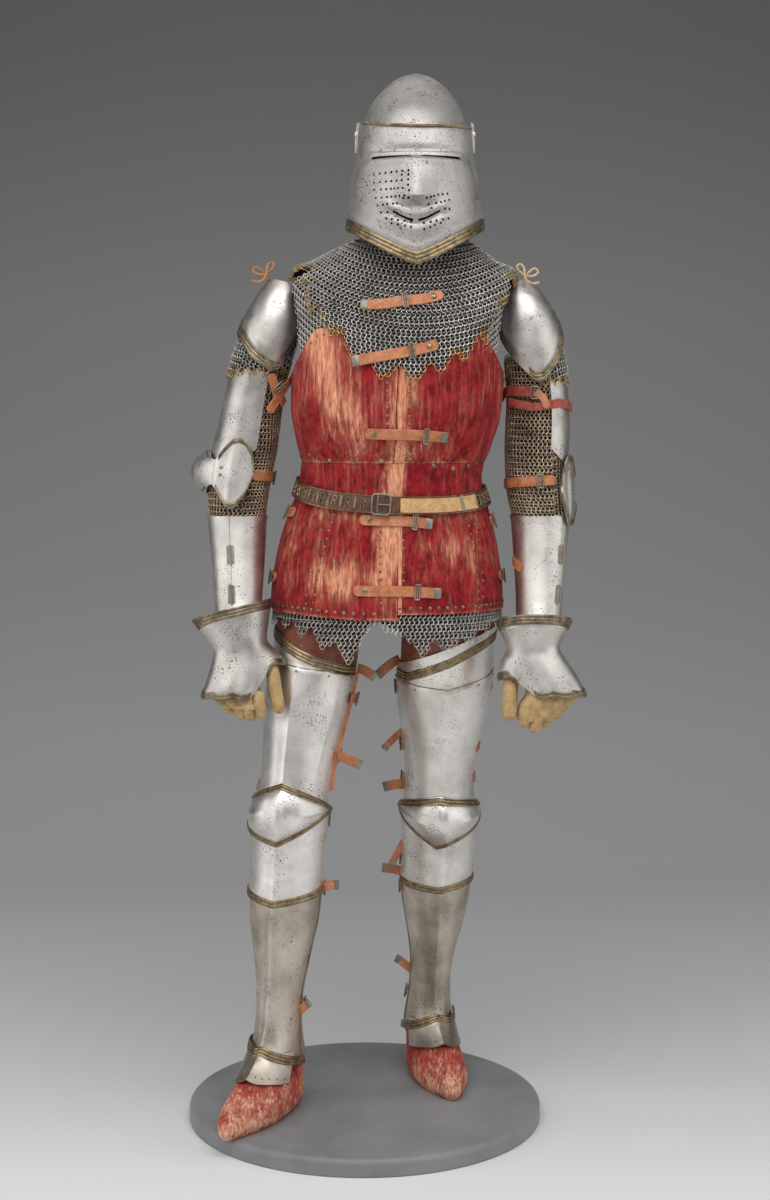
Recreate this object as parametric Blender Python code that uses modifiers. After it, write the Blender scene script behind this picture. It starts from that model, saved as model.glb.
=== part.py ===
"""A suit of plate armour of about 1400, standing on a round base.

Metres, +Z up, front of the suit facing -Y. The origin is the middle of the base's underside.
The suit is hollow, in the pose it was worn in: a tall helmet with a hinged visor, a mail cape, a velvet
coat over riveted plates, mail sleeves and skirt, and plate on the arms, hands, legs and feet.
"Right" and "left" are the wearer's: right is towards -X.

Each wall is lofted through sections worked out from short tables. A section is read at an angle round the
body, 0 in front and growing towards +X, and at a height above the base's top face. What lies on a wall is
made from the same section, moved out.
"""

import math

import bmesh
import bpy
import numpy as np
from mathutils import Matrix, Vector

BASE_RADIUS = 0.300
BASE_HEIGHT = 0.030
BASE_BEVEL = 0.010

GAP = 0.0008
NEAR = 0.0016
LOOSE = 0.0040
CAPE_OFF = 0.0030
PLATE = 0.0016
MAIL = 0.0025
CLOTH = 0.0030
LEATHER = 0.0024
SHOE_WALL = 0.0030
OVER_SLEEVE = NEAR + 0.0004
UNDER_PLATE = 0.0013

# Heights, above the base's top face, where walls end with a level edge.
CAPE_TOP = 1.476
SKULL_TOP = 1.727
SLEEVE_LOW = 0.985
UPPER_ARM_TOP = 1.270
FOREARM_LOW = 0.786
FOREARM_INNER_TOP = 0.998
MAIL_SKIRT_TOP = 0.862
THIGH_LOW = 0.500
THIGH_LEATHER_TOP = 0.866
SHIN_FRONT_TOP = 0.440
SHIN_BACK_TOP = 0.410
ANKLE_PLATE_TOP = 0.100
SHOE_LOW = 0.0003
SHOE_TOP = 0.104

VISOR_PIVOT_X = 0.084
VISOR_PIVOT_Y = 0.048
VISOR_PIVOT_HEIGHT = 1.625
PIVOT_BOSS_RADIUS = 0.0070
PIVOT_BOSS_REACH = 0.0892
SIGHT_LOW = 1.5755
SIGHT_SLOT = 0.0048
MOUTH_SLOT = 0.0044

STEEL = ("steel", (0.60, 0.59, 0.58), 0.36, 1.0)
BRASS = ("brass", (0.42, 0.31, 0.14), 0.42, 1.0)
VELVET = ("velvet", (0.50, 0.045, 0.05), 0.90, 0.0)
MAILWORK = ("mail", (0.30, 0.28, 0.26), 0.50, 0.9)
STRAP = ("strap_leather", (0.62, 0.30, 0.14), 0.60, 0.0)
RED_LEATHER = ("red_leather", (0.36, 0.08, 0.04), 0.65, 0.0)
BUFF = ("buff_leather", (0.72, 0.58, 0.34), 0.75, 0.0)
STAND = ("stand", (0.36, 0.37, 0.37), 0.55, 0.0)

# Sections round the trunk. height is that of the front; side_rise and back_rise are added at the sides and
# the back, which lifts the rings over the shoulders. side, front and back are half sizes from (x, y).
TRUNK_COLUMNS = "height side_rise back_rise x y side front back"
TRUNK = [
    (0.700, 0.000, 0.000, 0.040, 0.040, 0.206, 0.144, 0.136),
    (0.790, 0.000, 0.000, 0.039, 0.040, 0.203, 0.142, 0.134),
    (0.835, 0.000, 0.000, 0.038, 0.040, 0.198, 0.140, 0.132),
    (0.880, 0.000, 0.000, 0.038, 0.040, 0.195, 0.137, 0.129),
    (0.930, 0.000, 0.000, 0.039, 0.040, 0.188, 0.132, 0.124),
    (0.970, 0.000, 0.000, 0.040, 0.040, 0.179, 0.127, 0.119),
    (1.010, 0.000, 0.000, 0.042, 0.040, 0.166, 0.122, 0.113),
    (1.055, 0.000, 0.000, 0.044, 0.040, 0.152, 0.118, 0.108),
    (1.085, 0.000, 0.000, 0.047, 0.040, 0.154, 0.121, 0.109),
    (1.110, 0.000, 0.000, 0.050, 0.040, 0.161, 0.131, 0.112),
    (1.140, 0.000, 0.000, 0.052, 0.040, 0.170, 0.139, 0.117),
    (1.170, 0.000, 0.000, 0.053, 0.040, 0.176, 0.143, 0.122),
    (1.210, 0.000, 0.000, 0.055, 0.040, 0.178, 0.144, 0.126),
    (1.245, 0.020, 0.005, 0.056, 0.040, 0.178, 0.141, 0.127),
    (1.280, 0.060, 0.015, 0.058, 0.039, 0.183, 0.134, 0.124),
    (1.310, 0.085, 0.028, 0.061, 0.038, 0.188, 0.124, 0.117),
    (1.345, 0.071, 0.034, 0.066, 0.037, 0.150, 0.111, 0.106),
    (1.380, 0.056, 0.032, 0.073, 0.037, 0.117, 0.099, 0.100),
    (1.415, 0.038, 0.024, 0.080, 0.038, 0.0870, 0.092, 0.098),
    (1.450, 0.020, 0.012, 0.083, 0.040, 0.0828, 0.0931, 0.1006),
    (1.500, 0.000, 0.000, 0.084, 0.042, 0.0832, 0.0956, 0.1051),
]

# Sections of a limb. keel is the ridge that runs down the front of a plate, facing the turn of the front
# from -Y towards +X, in degrees.
LIMB_COLUMNS = "height x y side front back keel facing"
LEG_RIGHT = [
    (0.040, -0.146, -0.025, 0.045, 0.178, 0.066, 0.004, -23),
    (0.058, -0.146, -0.025, 0.043, 0.142, 0.063, 0.003, -23),
    (0.074, -0.147, -0.025, 0.041, 0.108, 0.060, 0.002, -22),
    (0.092, -0.147, -0.024, 0.039, 0.082, 0.057, 0.002, -21),
    (0.112, -0.147, -0.023, 0.037, 0.064, 0.053, 0.003, -20),
    (0.145, -0.146, -0.021, 0.035, 0.053, 0.049, 0.004, -18),
    (0.190, -0.144, -0.018, 0.036, 0.052, 0.053, 0.005, -17),
    (0.230, -0.141, -0.015, 0.041, 0.054, 0.061, 0.005, -16),
    (0.272, -0.139, -0.013, 0.048, 0.057, 0.070, 0.006, -15),
    (0.320, -0.136, -0.011, 0.056, 0.060, 0.077, 0.006, -14),
    (0.358, -0.134, -0.009, 0.058, 0.062, 0.074, 0.006, -13),
    (0.400, -0.132, -0.007, 0.057, 0.063, 0.066, 0.006, -12),
    (0.440, -0.130, -0.006, 0.058, 0.065, 0.061, 0.006, -12),
    (0.475, -0.127, -0.005, 0.060, 0.067, 0.060, 0.006, -12),
    (0.515, -0.122, -0.003, 0.059, 0.067, 0.062, 0.006, -11),
    (0.565, -0.114, 0.002, 0.058, 0.068, 0.066, 0.006, -15),
    (0.620, -0.106, 0.009, 0.063, 0.073, 0.072, 0.006, -16),
    (0.680, -0.096, 0.017, 0.069, 0.079, 0.080, 0.006, -17),
    (0.730, -0.087, 0.024, 0.0710, 0.083, 0.084, 0.006, -17),
    (0.780, -0.080, 0.031, 0.0705, 0.083, 0.085, 0.005, -17),
    (0.830, -0.076, 0.037, 0.0695, 0.080, 0.084, 0.004, -16),
    (0.870, -0.074, 0.040, 0.0690, 0.078, 0.082, 0.003, -15),
]
LEG_LEFT = [
    (0.040, 0.111, 0.168, 0.045, 0.174, 0.066, 0.004, 12),
    (0.058, 0.111, 0.168, 0.043, 0.138, 0.063, 0.003, 12),
    (0.074, 0.111, 0.168, 0.041, 0.106, 0.060, 0.002, 12),
    (0.092, 0.111, 0.167, 0.039, 0.080, 0.057, 0.002, 11),
    (0.112, 0.112, 0.165, 0.037, 0.063, 0.053, 0.003, 10),
    (0.145, 0.114, 0.161, 0.034, 0.053, 0.049, 0.004, 9),
    (0.190, 0.117, 0.156, 0.034, 0.052, 0.053, 0.005, 8),
    (0.230, 0.120, 0.150, 0.039, 0.054, 0.061, 0.005, 7),
    (0.272, 0.123, 0.144, 0.048, 0.057, 0.070, 0.006, 6),
    (0.320, 0.124, 0.137, 0.056, 0.060, 0.077, 0.006, 6),
    (0.358, 0.125, 0.131, 0.058, 0.062, 0.074, 0.006, 5),
    (0.400, 0.127, 0.122, 0.058, 0.063, 0.066, 0.006, 5),
    (0.440, 0.129, 0.113, 0.060, 0.065, 0.061, 0.006, 5),
    (0.475, 0.129, 0.107, 0.061, 0.067, 0.060, 0.006, 4),
    (0.515, 0.128, 0.100, 0.059, 0.067, 0.062, 0.006, 4),
    (0.565, 0.129, 0.092, 0.059, 0.068, 0.066, 0.006, 3),
    (0.620, 0.132, 0.080, 0.066, 0.074, 0.072, 0.006, 3),
    (0.680, 0.135, 0.068, 0.075, 0.080, 0.080, 0.005, 2),
    (0.730, 0.137, 0.057, 0.079, 0.083, 0.086, 0.004, 2),
    (0.780, 0.140, 0.047, 0.0780, 0.083, 0.089, 0.003, 1),
    (0.830, 0.1440, 0.040, 0.0800, 0.080, 0.089, 0.001, 0),
    (0.870, 0.1430, 0.040, 0.0780, 0.078, 0.088, 0.000, 0),
]
FOOT_RIGHT = [
    (0.000, -0.1735, -0.096, 0.041, 0.112, 0.125, 0.020, -23),
    (0.010, -0.1735, -0.096, 0.047, 0.117, 0.132, 0.026, -23),
    (0.024, -0.1735, -0.096, 0.0485, 0.115, 0.133, 0.026, -23),
    (0.040, -0.1680, -0.083, 0.046, 0.106, 0.120, 0.018, -23),
    (0.058, -0.1600, -0.060, 0.043, 0.096, 0.099, 0.008, -23),
    (0.078, -0.1510, -0.036, 0.040, 0.088, 0.069, 0.002, -22),
]
FOOT_LEFT = [
    (0.000, 0.1260, 0.096, 0.041, 0.107, 0.120, 0.018, 12),
    (0.010, 0.1260, 0.096, 0.046, 0.112, 0.127, 0.024, 12),
    (0.024, 0.1260, 0.096, 0.0475, 0.110, 0.128, 0.024, 12),
    (0.040, 0.1235, 0.108, 0.045, 0.101, 0.116, 0.016, 12),
    (0.058, 0.1185, 0.132, 0.042, 0.092, 0.096, 0.008, 12),
    (0.078, 0.1135, 0.157, 0.040, 0.085, 0.068, 0.002, 12),
]
ARM_RIGHT = [
    (0.780, -0.2060, -0.049, 0.032, 0.0296, 0.0295, 0.0, 0),
    (0.810, -0.2085, -0.044, 0.033, 0.031, 0.031, 0.0, 0),
    (0.860, -0.210, -0.022, 0.036, 0.034, 0.034, 0.0, 0),
    (0.910, -0.211, -0.002, 0.040, 0.038, 0.038, 0.0, 0),
    (0.960, -0.213, 0.016, 0.044, 0.043, 0.043, 0.0, 0),
    (1.000, -0.214, 0.029, 0.047, 0.046, 0.046, 0.0, 0),
    (1.030, -0.213, 0.039, 0.050, 0.049, 0.049, 0.0, 0),
    (1.070, -0.209, 0.047, 0.053, 0.052, 0.052, 0.0, 0),
    (1.110, -0.201, 0.050, 0.053, 0.053, 0.053, 0.0, 0),
    (1.150, -0.193, 0.050, 0.050, 0.052, 0.052, 0.0, 0),
    (1.200, -0.184, 0.049, 0.048, 0.052, 0.052, 0.0, 0),
    (1.250, -0.172, 0.047, 0.047, 0.053, 0.053, 0.0, 0),
    (1.300, -0.156, 0.046, 0.045, 0.053, 0.053, 0.0, 0),
    (1.340, -0.146, 0.046, 0.0370, 0.046, 0.046, 0.0, 0),
    (1.368, -0.140, 0.046, 0.0250, 0.034, 0.034, 0.0, 0),
    (1.386, -0.137, 0.046, 0.0130, 0.020, 0.020, 0.0, 0),
    (1.396, -0.136, 0.046, 0.0060, 0.010, 0.010, 0.0, 0),
]
ARM_LEFT = [
    (0.780, 0.2805, -0.0562, 0.032, 0.0310, 0.0285, 0.0, 0),
    (0.810, 0.2870, -0.047, 0.033, 0.031, 0.031, 0.0, 0),
    (0.860, 0.2915, -0.022, 0.036, 0.034, 0.034, 0.0, 0),
    (0.910, 0.294, -0.002, 0.040, 0.038, 0.038, 0.0, 0),
    (0.960, 0.295, 0.016, 0.044, 0.043, 0.043, 0.0, 0),
    (1.000, 0.295, 0.031, 0.047, 0.046, 0.046, 0.0, 0),
    (1.030, 0.292, 0.043, 0.050, 0.049, 0.049, 0.0, 0),
    (1.070, 0.290, 0.052, 0.051, 0.052, 0.052, 0.0, 0),
    (1.110, 0.290, 0.055, 0.052, 0.053, 0.053, 0.0, 0),
    (1.150, 0.291, 0.054, 0.052, 0.052, 0.052, 0.0, 0),
    (1.200, 0.290, 0.052, 0.050, 0.052, 0.052, 0.0, 0),
    (1.250, 0.284, 0.049, 0.048, 0.053, 0.053, 0.0, 0),
    (1.300, 0.275, 0.047, 0.045, 0.053, 0.053, 0.0, 0),
    (1.340, 0.268, 0.046, 0.0370, 0.046, 0.046, 0.0, 0),
    (1.364, 0.263, 0.046, 0.0250, 0.034, 0.034, 0.0, 0),
    (1.380, 0.260, 0.046, 0.0130, 0.020, 0.020, 0.0, 0),
    (1.390, 0.259, 0.046, 0.0060, 0.010, 0.010, 0.0, 0),
]
HAND_RIGHT = [
    (0.690, -0.2260, -0.071, 0.0450, 0.033, 0.034, 0.0, 0),
    (0.715, -0.2190, -0.069, 0.0450, 0.034, 0.034, 0.0, 0),
    (0.745, -0.2095, -0.060, 0.0450, 0.035, 0.033, 0.0, 0),
    (0.765, -0.2060, -0.054, 0.0440, 0.035, 0.032, 0.0, 0),
    (0.780, -0.2050, -0.050, 0.0435, 0.036, 0.033, 0.0, 0),
    (0.802, -0.2125, -0.045, 0.0495, 0.042, 0.040, 0.0, 0),
    (0.830, -0.2215, -0.037, 0.0620, 0.053, 0.052, 0.0, 0),
    (0.870, -0.2235, -0.029, 0.0660, 0.060, 0.060, 0.0, 0),
]
HAND_LEFT = [
    (0.690, 0.3260, -0.075, 0.0460, 0.033, 0.034, 0.0, 0),
    (0.715, 0.3150, -0.072, 0.0465, 0.034, 0.034, 0.0, 0),
    (0.740, 0.3015, -0.066, 0.0475, 0.035, 0.033, 0.0, 0),
    (0.764, 0.2870, -0.060, 0.0460, 0.035, 0.032, 0.0, 0),
    (0.783, 0.2795, -0.055, 0.0425, 0.036, 0.033, 0.0, 0),
    (0.802, 0.2795, -0.051, 0.0490, 0.042, 0.040, 0.0, 0),
    (0.828, 0.2810, -0.045, 0.0600, 0.052, 0.050, 0.0, 0),
    (0.870, 0.2840, -0.038, 0.0610, 0.058, 0.054, 0.0, 0),
]
GLOVE_RIGHT = [
    (0.666, -0.1830, -0.078, 0.0100, 0.008, 0.008, 0.0, 0),
    (0.674, -0.1870, -0.076, 0.0290, 0.018, 0.020, 0.0, 0),
    (0.687, -0.1960, -0.074, 0.0400, 0.026, 0.028, 0.0, 0),
    (0.702, -0.2080, -0.069, 0.0430, 0.027, 0.032, 0.0, 0),
    (0.720, -0.2140, -0.065, 0.0410, 0.027, 0.031, 0.0, 0),
    (0.745, -0.2090, -0.059, 0.0410, 0.029, 0.029, 0.0, 0),
    (0.775, -0.2055, -0.051, 0.0390, 0.030, 0.029, 0.0, 0),
]
GLOVE_LEFT = [
    (0.646, 0.2680, -0.080, 0.0080, 0.008, 0.008, 0.0, 0),
    (0.653, 0.2720, -0.079, 0.0200, 0.016, 0.018, 0.0, 0),
    (0.668, 0.2820, -0.077, 0.0330, 0.024, 0.026, 0.0, 0),
    (0.688, 0.2960, -0.074, 0.0430, 0.028, 0.031, 0.0, 0),
    (0.710, 0.3100, -0.071, 0.0434, 0.0299, 0.0322, 0.0, 0),
    (0.740, 0.3010, -0.065, 0.0444, 0.0309, 0.0307, 0.0, 0),
    (0.775, 0.2815, -0.057, 0.0390, 0.030, 0.029, 0.0, 0),
]
SKULL = [
    (1.450, 0.084, 0.042, 0.0835, 0.092, 0.098, 0.0, 0),
    (1.500, 0.084, 0.043, 0.0850, 0.098, 0.106, 0.0, 0),
    (1.560, 0.084, 0.044, 0.0870, 0.103, 0.112, 0.0, 0),
    (1.610, 0.084, 0.045, 0.0870, 0.104, 0.110, 0.001, 0),
    (1.640, 0.084, 0.047, 0.0845, 0.100, 0.101, 0.002, 0),
    (1.665, 0.084, 0.051, 0.0780, 0.089, 0.088, 0.003, 0),
    (1.685, 0.084, 0.056, 0.0680, 0.074, 0.074, 0.003, 0),
    (1.703, 0.085, 0.062, 0.0540, 0.056, 0.057, 0.003, 0),
    (1.717, 0.085, 0.067, 0.0370, 0.036, 0.038, 0.002, 0),
    (1.7235, 0.086, 0.070, 0.0220, 0.021, 0.022, 0.001, 0),
    (1.7262, 0.086, 0.071, 0.0100, 0.010, 0.010, 0.000, 0),
    (1.7270, 0.086, 0.071, 0.0040, 0.004, 0.004, 0.000, 0),
]
VISOR = [
    (1.400, 0.086, 0.030, 0.1130, 0.112, 0.112, 0.004, 0),
    (1.440, 0.085, 0.030, 0.1130, 0.120, 0.112, 0.006, 0),
    (1.475, 0.084, 0.030, 0.1120, 0.125, 0.112, 0.006, 0),
    (1.510, 0.084, 0.030, 0.1080, 0.124, 0.108, 0.005, 0),
    (1.545, 0.084, 0.030, 0.1045, 0.122, 0.105, 0.008, 0),
    (1.566, 0.084, 0.030, 0.1000, 0.119, 0.102, 0.010, 0),
    (1.574, 0.084, 0.030, 0.0975, 0.116, 0.100, 0.008, 0),
    (1.582, 0.084, 0.030, 0.0960, 0.106, 0.098, 0.003, 0),
    (1.605, 0.084, 0.030, 0.0935, 0.101, 0.096, 0.002, 0),
    (1.640, 0.084, 0.030, 0.0915, 0.095, 0.095, 0.002, 0),
    (1.670, 0.084, 0.030, 0.0910, 0.090, 0.093, 0.002, 0),
]
# Lowest points of the mail cape's tongues, and the line between the tongues of the mail skirt, by angle
# round the trunk in degrees.
CAPE_HEM = [(-180, 1.236), (-150, 1.250), (-120, 1.290), (-90, 1.322), (-67, 1.320), (-59, 1.305),
            (-47, 1.290), (-38, 1.278), (-27, 1.262), (-8, 1.222), (8, 1.218), (27, 1.238), (38, 1.247),
            (49, 1.261), (55, 1.277), (71, 1.297), (90, 1.304), (120, 1.280), (150, 1.250), (180, 1.236)]
SKIRT_HEM = [(-180, 0.812), (-90, 0.835), (-60, 0.836), (-38, 0.820), (-23, 0.800), (-12, 0.800),
             (-3.5, 0.834), (4, 0.812), (20, 0.801), (35, 0.806), (46, 0.818), (60, 0.829), (90, 0.833),
             (180, 0.812)]
SKIRT_NOTCH = -9.0
# What differs between the arms: angles in degrees round the arm, heights above the base's top face.
ARM_PLACES = {
    "right": {"upper_start": -22.5, "cap_start": -67.5, "cap_hem": 1.238, "hinge_line": 12,
              "elbow_turn": 0, "elbow_centre": 1.070, "elbow_lift": 0.0, "elbow_strap": 1.060,
              "forearm_out": 0.0019, "forearm_top": 0.998, "armpit": 0.0080,
              "shoulder_edge": [(-68, 1.312), (-22, 1.256), (-8, 1.240), (20, 1.262), (45, 1.285),
                                (70, 1.307), (100, 1.320), (158, 1.322)]},
    "left": {"upper_start": 22.5, "cap_start": 0, "cap_hem": 1.222, "hinge_line": 45,
             "elbow_turn": 57, "elbow_centre": 1.040, "elbow_lift": 0.0006, "elbow_strap": 1.052,
             "forearm_out": 0.0016, "forearm_top": 1.0045, "armpit": 0.0055,
             "shoulder_edge": [(-68, 1.300), (-37, 1.260), (-3, 1.224), (10, 1.226), (46, 1.262),
                               (80, 1.300), (110, 1.318), (158, 1.322)]},
}
# What differs between the legs: how far the thigh leather stands out at the hip, how far the right one
# flares inwards, and the edges of the knee and of the plate below it, as (degrees, height).
LEG_PLACES = {
    "right": {"hip_flare": 0.0102, "inner_flare": 0.024,
              "knee_high": [(-90, 0.512), (0, 0.560), (60, 0.534), (90, 0.526)],
              "knee_low": [(-90, 0.499), (-67, 0.494), (0, 0.453), (60, 0.467), (90, 0.480)],
              "lame_high": [(-90, 0.506), (-67, 0.502), (0, 0.480), (90, 0.492)],
              "lame_low": [(-90, 0.363), (0, 0.349), (90, 0.360)]},
    "left": {"hip_flare": 0.0065, "inner_flare": 0.0,
             "knee_high": [(-90, 0.499), (-4, 0.518), (90, 0.497)],
             "knee_low": [(-90, 0.481), (-75, 0.473), (-9, 0.423), (55, 0.452), (90, 0.468)],
             "lame_high": [(-90, 0.490), (-75, 0.484), (-9, 0.452), (90, 0.482)],
             "lame_low": [(-90, 0.346), (-9, 0.340), (90, 0.350)]},
}
HAND_PLACES = {
    "right": {"rim": 0.8455, "rim_tilt": (0.006, -0.0175), "guard": 0.757, "knuckle": 0.705,
              "glove": (0.6665, 0.774), "thumb_root": (-0.1526, -0.062, 0.752),
              "thumb_tip": (-0.1391, -0.088, 0.678), "thumb_radius": 0.0115},
    "left": {"rim": 0.8270, "rim_tilt": (0.0165, 0.0), "guard": 0.745, "knuckle": 0.708,
             "glove": (0.6465, 0.774), "thumb_root": (0.2429, -0.062, 0.738),
             "thumb_tip": (0.2379, -0.094, 0.667), "thumb_radius": 0.0130},
}
ROUNDNESS = {"trunk": 2.25, "limb": 2.0}
KEEL_SPREAD = math.radians(42)


def blend(value, low, high):
    """0 below low, 1 above high, and a smooth step between."""
    t = min(1.0, max(0.0, (value - low) / (high - low)))
    return t * t * (3 - 2 * t)


def curve(pairs):
    """A function through (where, value) pairs, straight between them and level outside."""
    where, value = zip(*sorted(pairs))
    return lambda x: float(np.interp(x, where, value))


class Form:
    """A smooth surface through the sections of a table."""

    def __init__(self, columns, rows, roundness, mirrored=False):
        names = columns.split()
        self.names = names
        self.keys = np.array([row[0] for row in rows])
        values = np.array(rows, float)
        self.values = values
        self.slopes = np.gradient(values, self.keys, axis=0)
        self.power = 2.0 / roundness
        self.mirror = -1.0 if mirrored else 1.0

    def read(self, height):
        """The table's columns at a height, by a cubic through its rows."""
        keys = self.keys
        k = int(np.clip(np.searchsorted(keys, height) - 1, 0, len(keys) - 2))
        step = keys[k + 1] - keys[k]
        t = min(1.0, max(0.0, (height - keys[k]) / step))
        a = 2 * t**3 - 3 * t**2 + 1
        b = t**3 - 2 * t**2 + t
        c = -2 * t**3 + 3 * t**2
        d = t**3 - t**2
        row = (a * self.values[k] + c * self.values[k + 1]
               + step * (b * self.slopes[k] + d * self.slopes[k + 1]))
        return dict(zip(self.names, row))

    def on(self, angle, height):
        """The point of the surface at an angle, in radians, and a height."""
        row = self.read(height)
        s, c = math.sin(angle), math.cos(angle)
        across = row["side"] * math.copysign(abs(s) ** self.power, s) * self.mirror
        depth = row["front"] if c > 0 else row["back"]
        ahead = depth * math.copysign(abs(c) ** self.power, c)
        turn = math.atan2(math.sin(angle), math.cos(angle))
        ahead += row.get("keel", 0.0) * max(0.0, 1.0 - abs(turn) / KEEL_SPREAD)
        facing = math.radians(row.get("facing", 0.0))
        x = row["x"] + across * math.cos(facing) + ahead * math.sin(facing)
        y = row["y"] + across * math.sin(facing) - ahead * math.cos(facing)
        rise = row.get("side_rise", 0.0) * s * s
        if c < 0:
            rise += row.get("back_rise", 0.0) * c * c
        return Vector((x, y, BASE_HEIGHT + row["height"] + rise))

    def normal(self, angle, height):
        small = 0.02
        across = self.on(angle + small, height) - self.on(angle - small, height)
        up = self.on(angle, height + small / 10) - self.on(angle, height - small / 10)
        out = up.cross(across) * -self.mirror
        return out.normalized()

    def point(self, angle, height, out=0.0):
        return self.on(angle, height) + self.normal(angle, height) * out


def colour(obj, look):
    name, rgb, roughness, metallic = look
    material = bpy.data.materials.get(name)
    if material is None:
        material = bpy.data.materials.new(name)
        material.use_nodes = True
        shader = material.node_tree.nodes["Principled BSDF"]
        shader.inputs["Base Color"].default_value = (*rgb, 1.0)
        shader.inputs["Roughness"].default_value = roughness
        shader.inputs["Metallic"].default_value = metallic
    obj.data.materials.append(material)


def add_object(name, mesh, look, collection="armour"):
    obj = bpy.data.objects.new(name, mesh)
    bpy.data.collections[collection].objects.link(obj)
    if look:
        colour(obj, look)
        mesh.shade_smooth()
        mesh.set_sharp_from_angle(angle=math.radians(35))
    return obj


def wall(name, skin, columns, rows, thick, look, around=False, floor=False, roof=False, slots=()):
    """A closed wall lofted from skin(u, v, depth), with u across, v up and depth below the outer face.

    slots are the (column, row) cells that are left open, right through the wall.
    """
    count = columns if around else columns + 1
    bm = bmesh.new()
    outer, inner = [
        [[bm.verts.new(skin(i / columns, j / rows, depth)) for i in range(count)] for j in range(rows + 1)]
        for depth in (0.0, thick)]

    def solid(i, j):
        if around:
            i %= columns
        return 0 <= i < columns and 0 <= j < rows and (i, j) not in slots

    def rim(j, i, other_j, other_i):
        bm.faces.new((outer[j][i], outer[other_j][other_i], inner[other_j][other_i], inner[j][i]))

    for i in range(columns):
        k = (i + 1) % count
        for j in range(rows):
            if not solid(i, j):
                continue
            bm.faces.new((outer[j][i], outer[j][k], outer[j + 1][k], outer[j + 1][i]))
            bm.faces.new((inner[j][k], inner[j][i], inner[j + 1][i], inner[j + 1][k]))
            if not solid(i - 1, j):
                rim(j + 1, i, j, i)
            if not solid(i + 1, j):
                rim(j, k, j + 1, k)
            if not solid(i, j - 1) and not (floor and j == 0):
                rim(j, i, j, k)
            if not solid(i, j + 1) and not (roof and j == rows - 1):
                rim(j + 1, k, j + 1, i)
    if floor:
        bm.faces.new(outer[0][::-1])
        bm.faces.new(inner[0])
    if roof:
        bm.faces.new(outer[rows])
        bm.faces.new(inner[rows][::-1])
    bmesh.ops.recalc_face_normals(bm, faces=bm.faces)
    mesh = bpy.data.meshes.new(name)
    bm.to_mesh(mesh)
    bm.free()
    return add_object(name, mesh, look)


def panel(name, form, angles, low, high, out, thick, columns, rows, look, bulge=None, roof=False):
    """A wall on a form between two angles, in degrees, and two edges that are functions of the angle."""
    around = abs(angles[1] - angles[0]) >= 360

    def skin(u, v, depth):
        degrees = angles[0] + (angles[1] - angles[0]) * u
        height = low(degrees) + (high(degrees) - low(degrees)) * v
        swell = bulge(degrees, v) if bulge else 0.0
        return form.point(math.radians(degrees), height, out + thick + swell - depth)

    return wall(name, skin, columns, rows, thick, look, around, roof=roof)


def level(height):
    return lambda degrees: height


def dags(edge, spacing, depth, first=0.0):
    """An edge with pointed tongues below it, one for each spacing in degrees."""
    def cut(degrees):
        place = ((degrees - first) / spacing) % 1.0
        return edge(degrees) - depth * (1.0 - 2.0 * abs(place - 0.5))
    return cut


def build_base():
    """The round base: a turned profile with a bevelled top edge, filled from rim to rim."""
    rim = BASE_RADIUS
    profile = [(0.0, BASE_HEIGHT), (rim - BASE_BEVEL, BASE_HEIGHT), (rim, BASE_HEIGHT - BASE_BEVEL),
               (rim, 0.002), (rim - 0.002, 0.0), (0.0, 0.0)]
    mesh = bpy.data.meshes.new("base")
    mesh.from_pydata([(r, 0.0, z) for r, z in profile],
                     [(i, i + 1) for i in range(len(profile) - 1)], [])
    obj = add_object("base", mesh, STAND)
    screw = obj.modifiers.new("turn", "SCREW")
    screw.steps = 48
    screw.render_steps = 48
    screw.use_merge_vertices = True
    screw.merge_threshold = 0.0001
    screw.use_smooth_shade = False
    weld = obj.modifiers.new("weld", "WELD")
    weld.merge_threshold = 0.0001


def build_coat(trunk):
    """Breast, back and skirt of the velvet coat, parted at the waist seam, the sides and the front."""
    waist = 1.088
    seam = 0.0004
    armhole = curve([(0, 1.290), (30, 1.290), (45, 1.278), (60, 1.252), (75, 1.232), (98, 1.222),
                     (120, 1.240), (140, 1.272), (160, 1.292), (180, 1.295)])
    hem = curve([(-97, 0.844), (-45, 0.840), (-12, 0.834), (3.6, 0.834), (3.8, 0.843), (97, 0.843),
                 (98, 0.844), (262, 0.844)])
    slit = 0.12
    low = level(waist + seam)

    def top(degrees):
        return armhole(abs((degrees + 180) % 360 - 180))

    breast = dict(low=low, high=top, out=-CLOTH, thick=CLOTH, rows=5, look=VELVET)
    panel("coat_breast_right", trunk, (-97.4, -slit), columns=10, **breast)
    panel("coat_breast_left", trunk, (slit, 97.4), columns=10, **breast)
    panel("coat_back", trunk, (97.6, 262.4), columns=16, **breast)

    skirt = dict(low=hem, high=level(waist - seam), out=-CLOTH, thick=CLOTH, rows=5, look=VELVET)
    panel("skirt_front_right", trunk, (-44.9, 3.6), columns=5, **skirt)
    panel("skirt_front_left", trunk, (3.8, 52.4), columns=5, **skirt)
    panel("skirt_side_right", trunk, (-97.4, -45.1), columns=5, **skirt)
    panel("skirt_side_left", trunk, (52.6, 97.4), columns=5, **skirt)
    panel("skirt_back", trunk, (97.6, 262.4), columns=16, **skirt)


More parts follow.
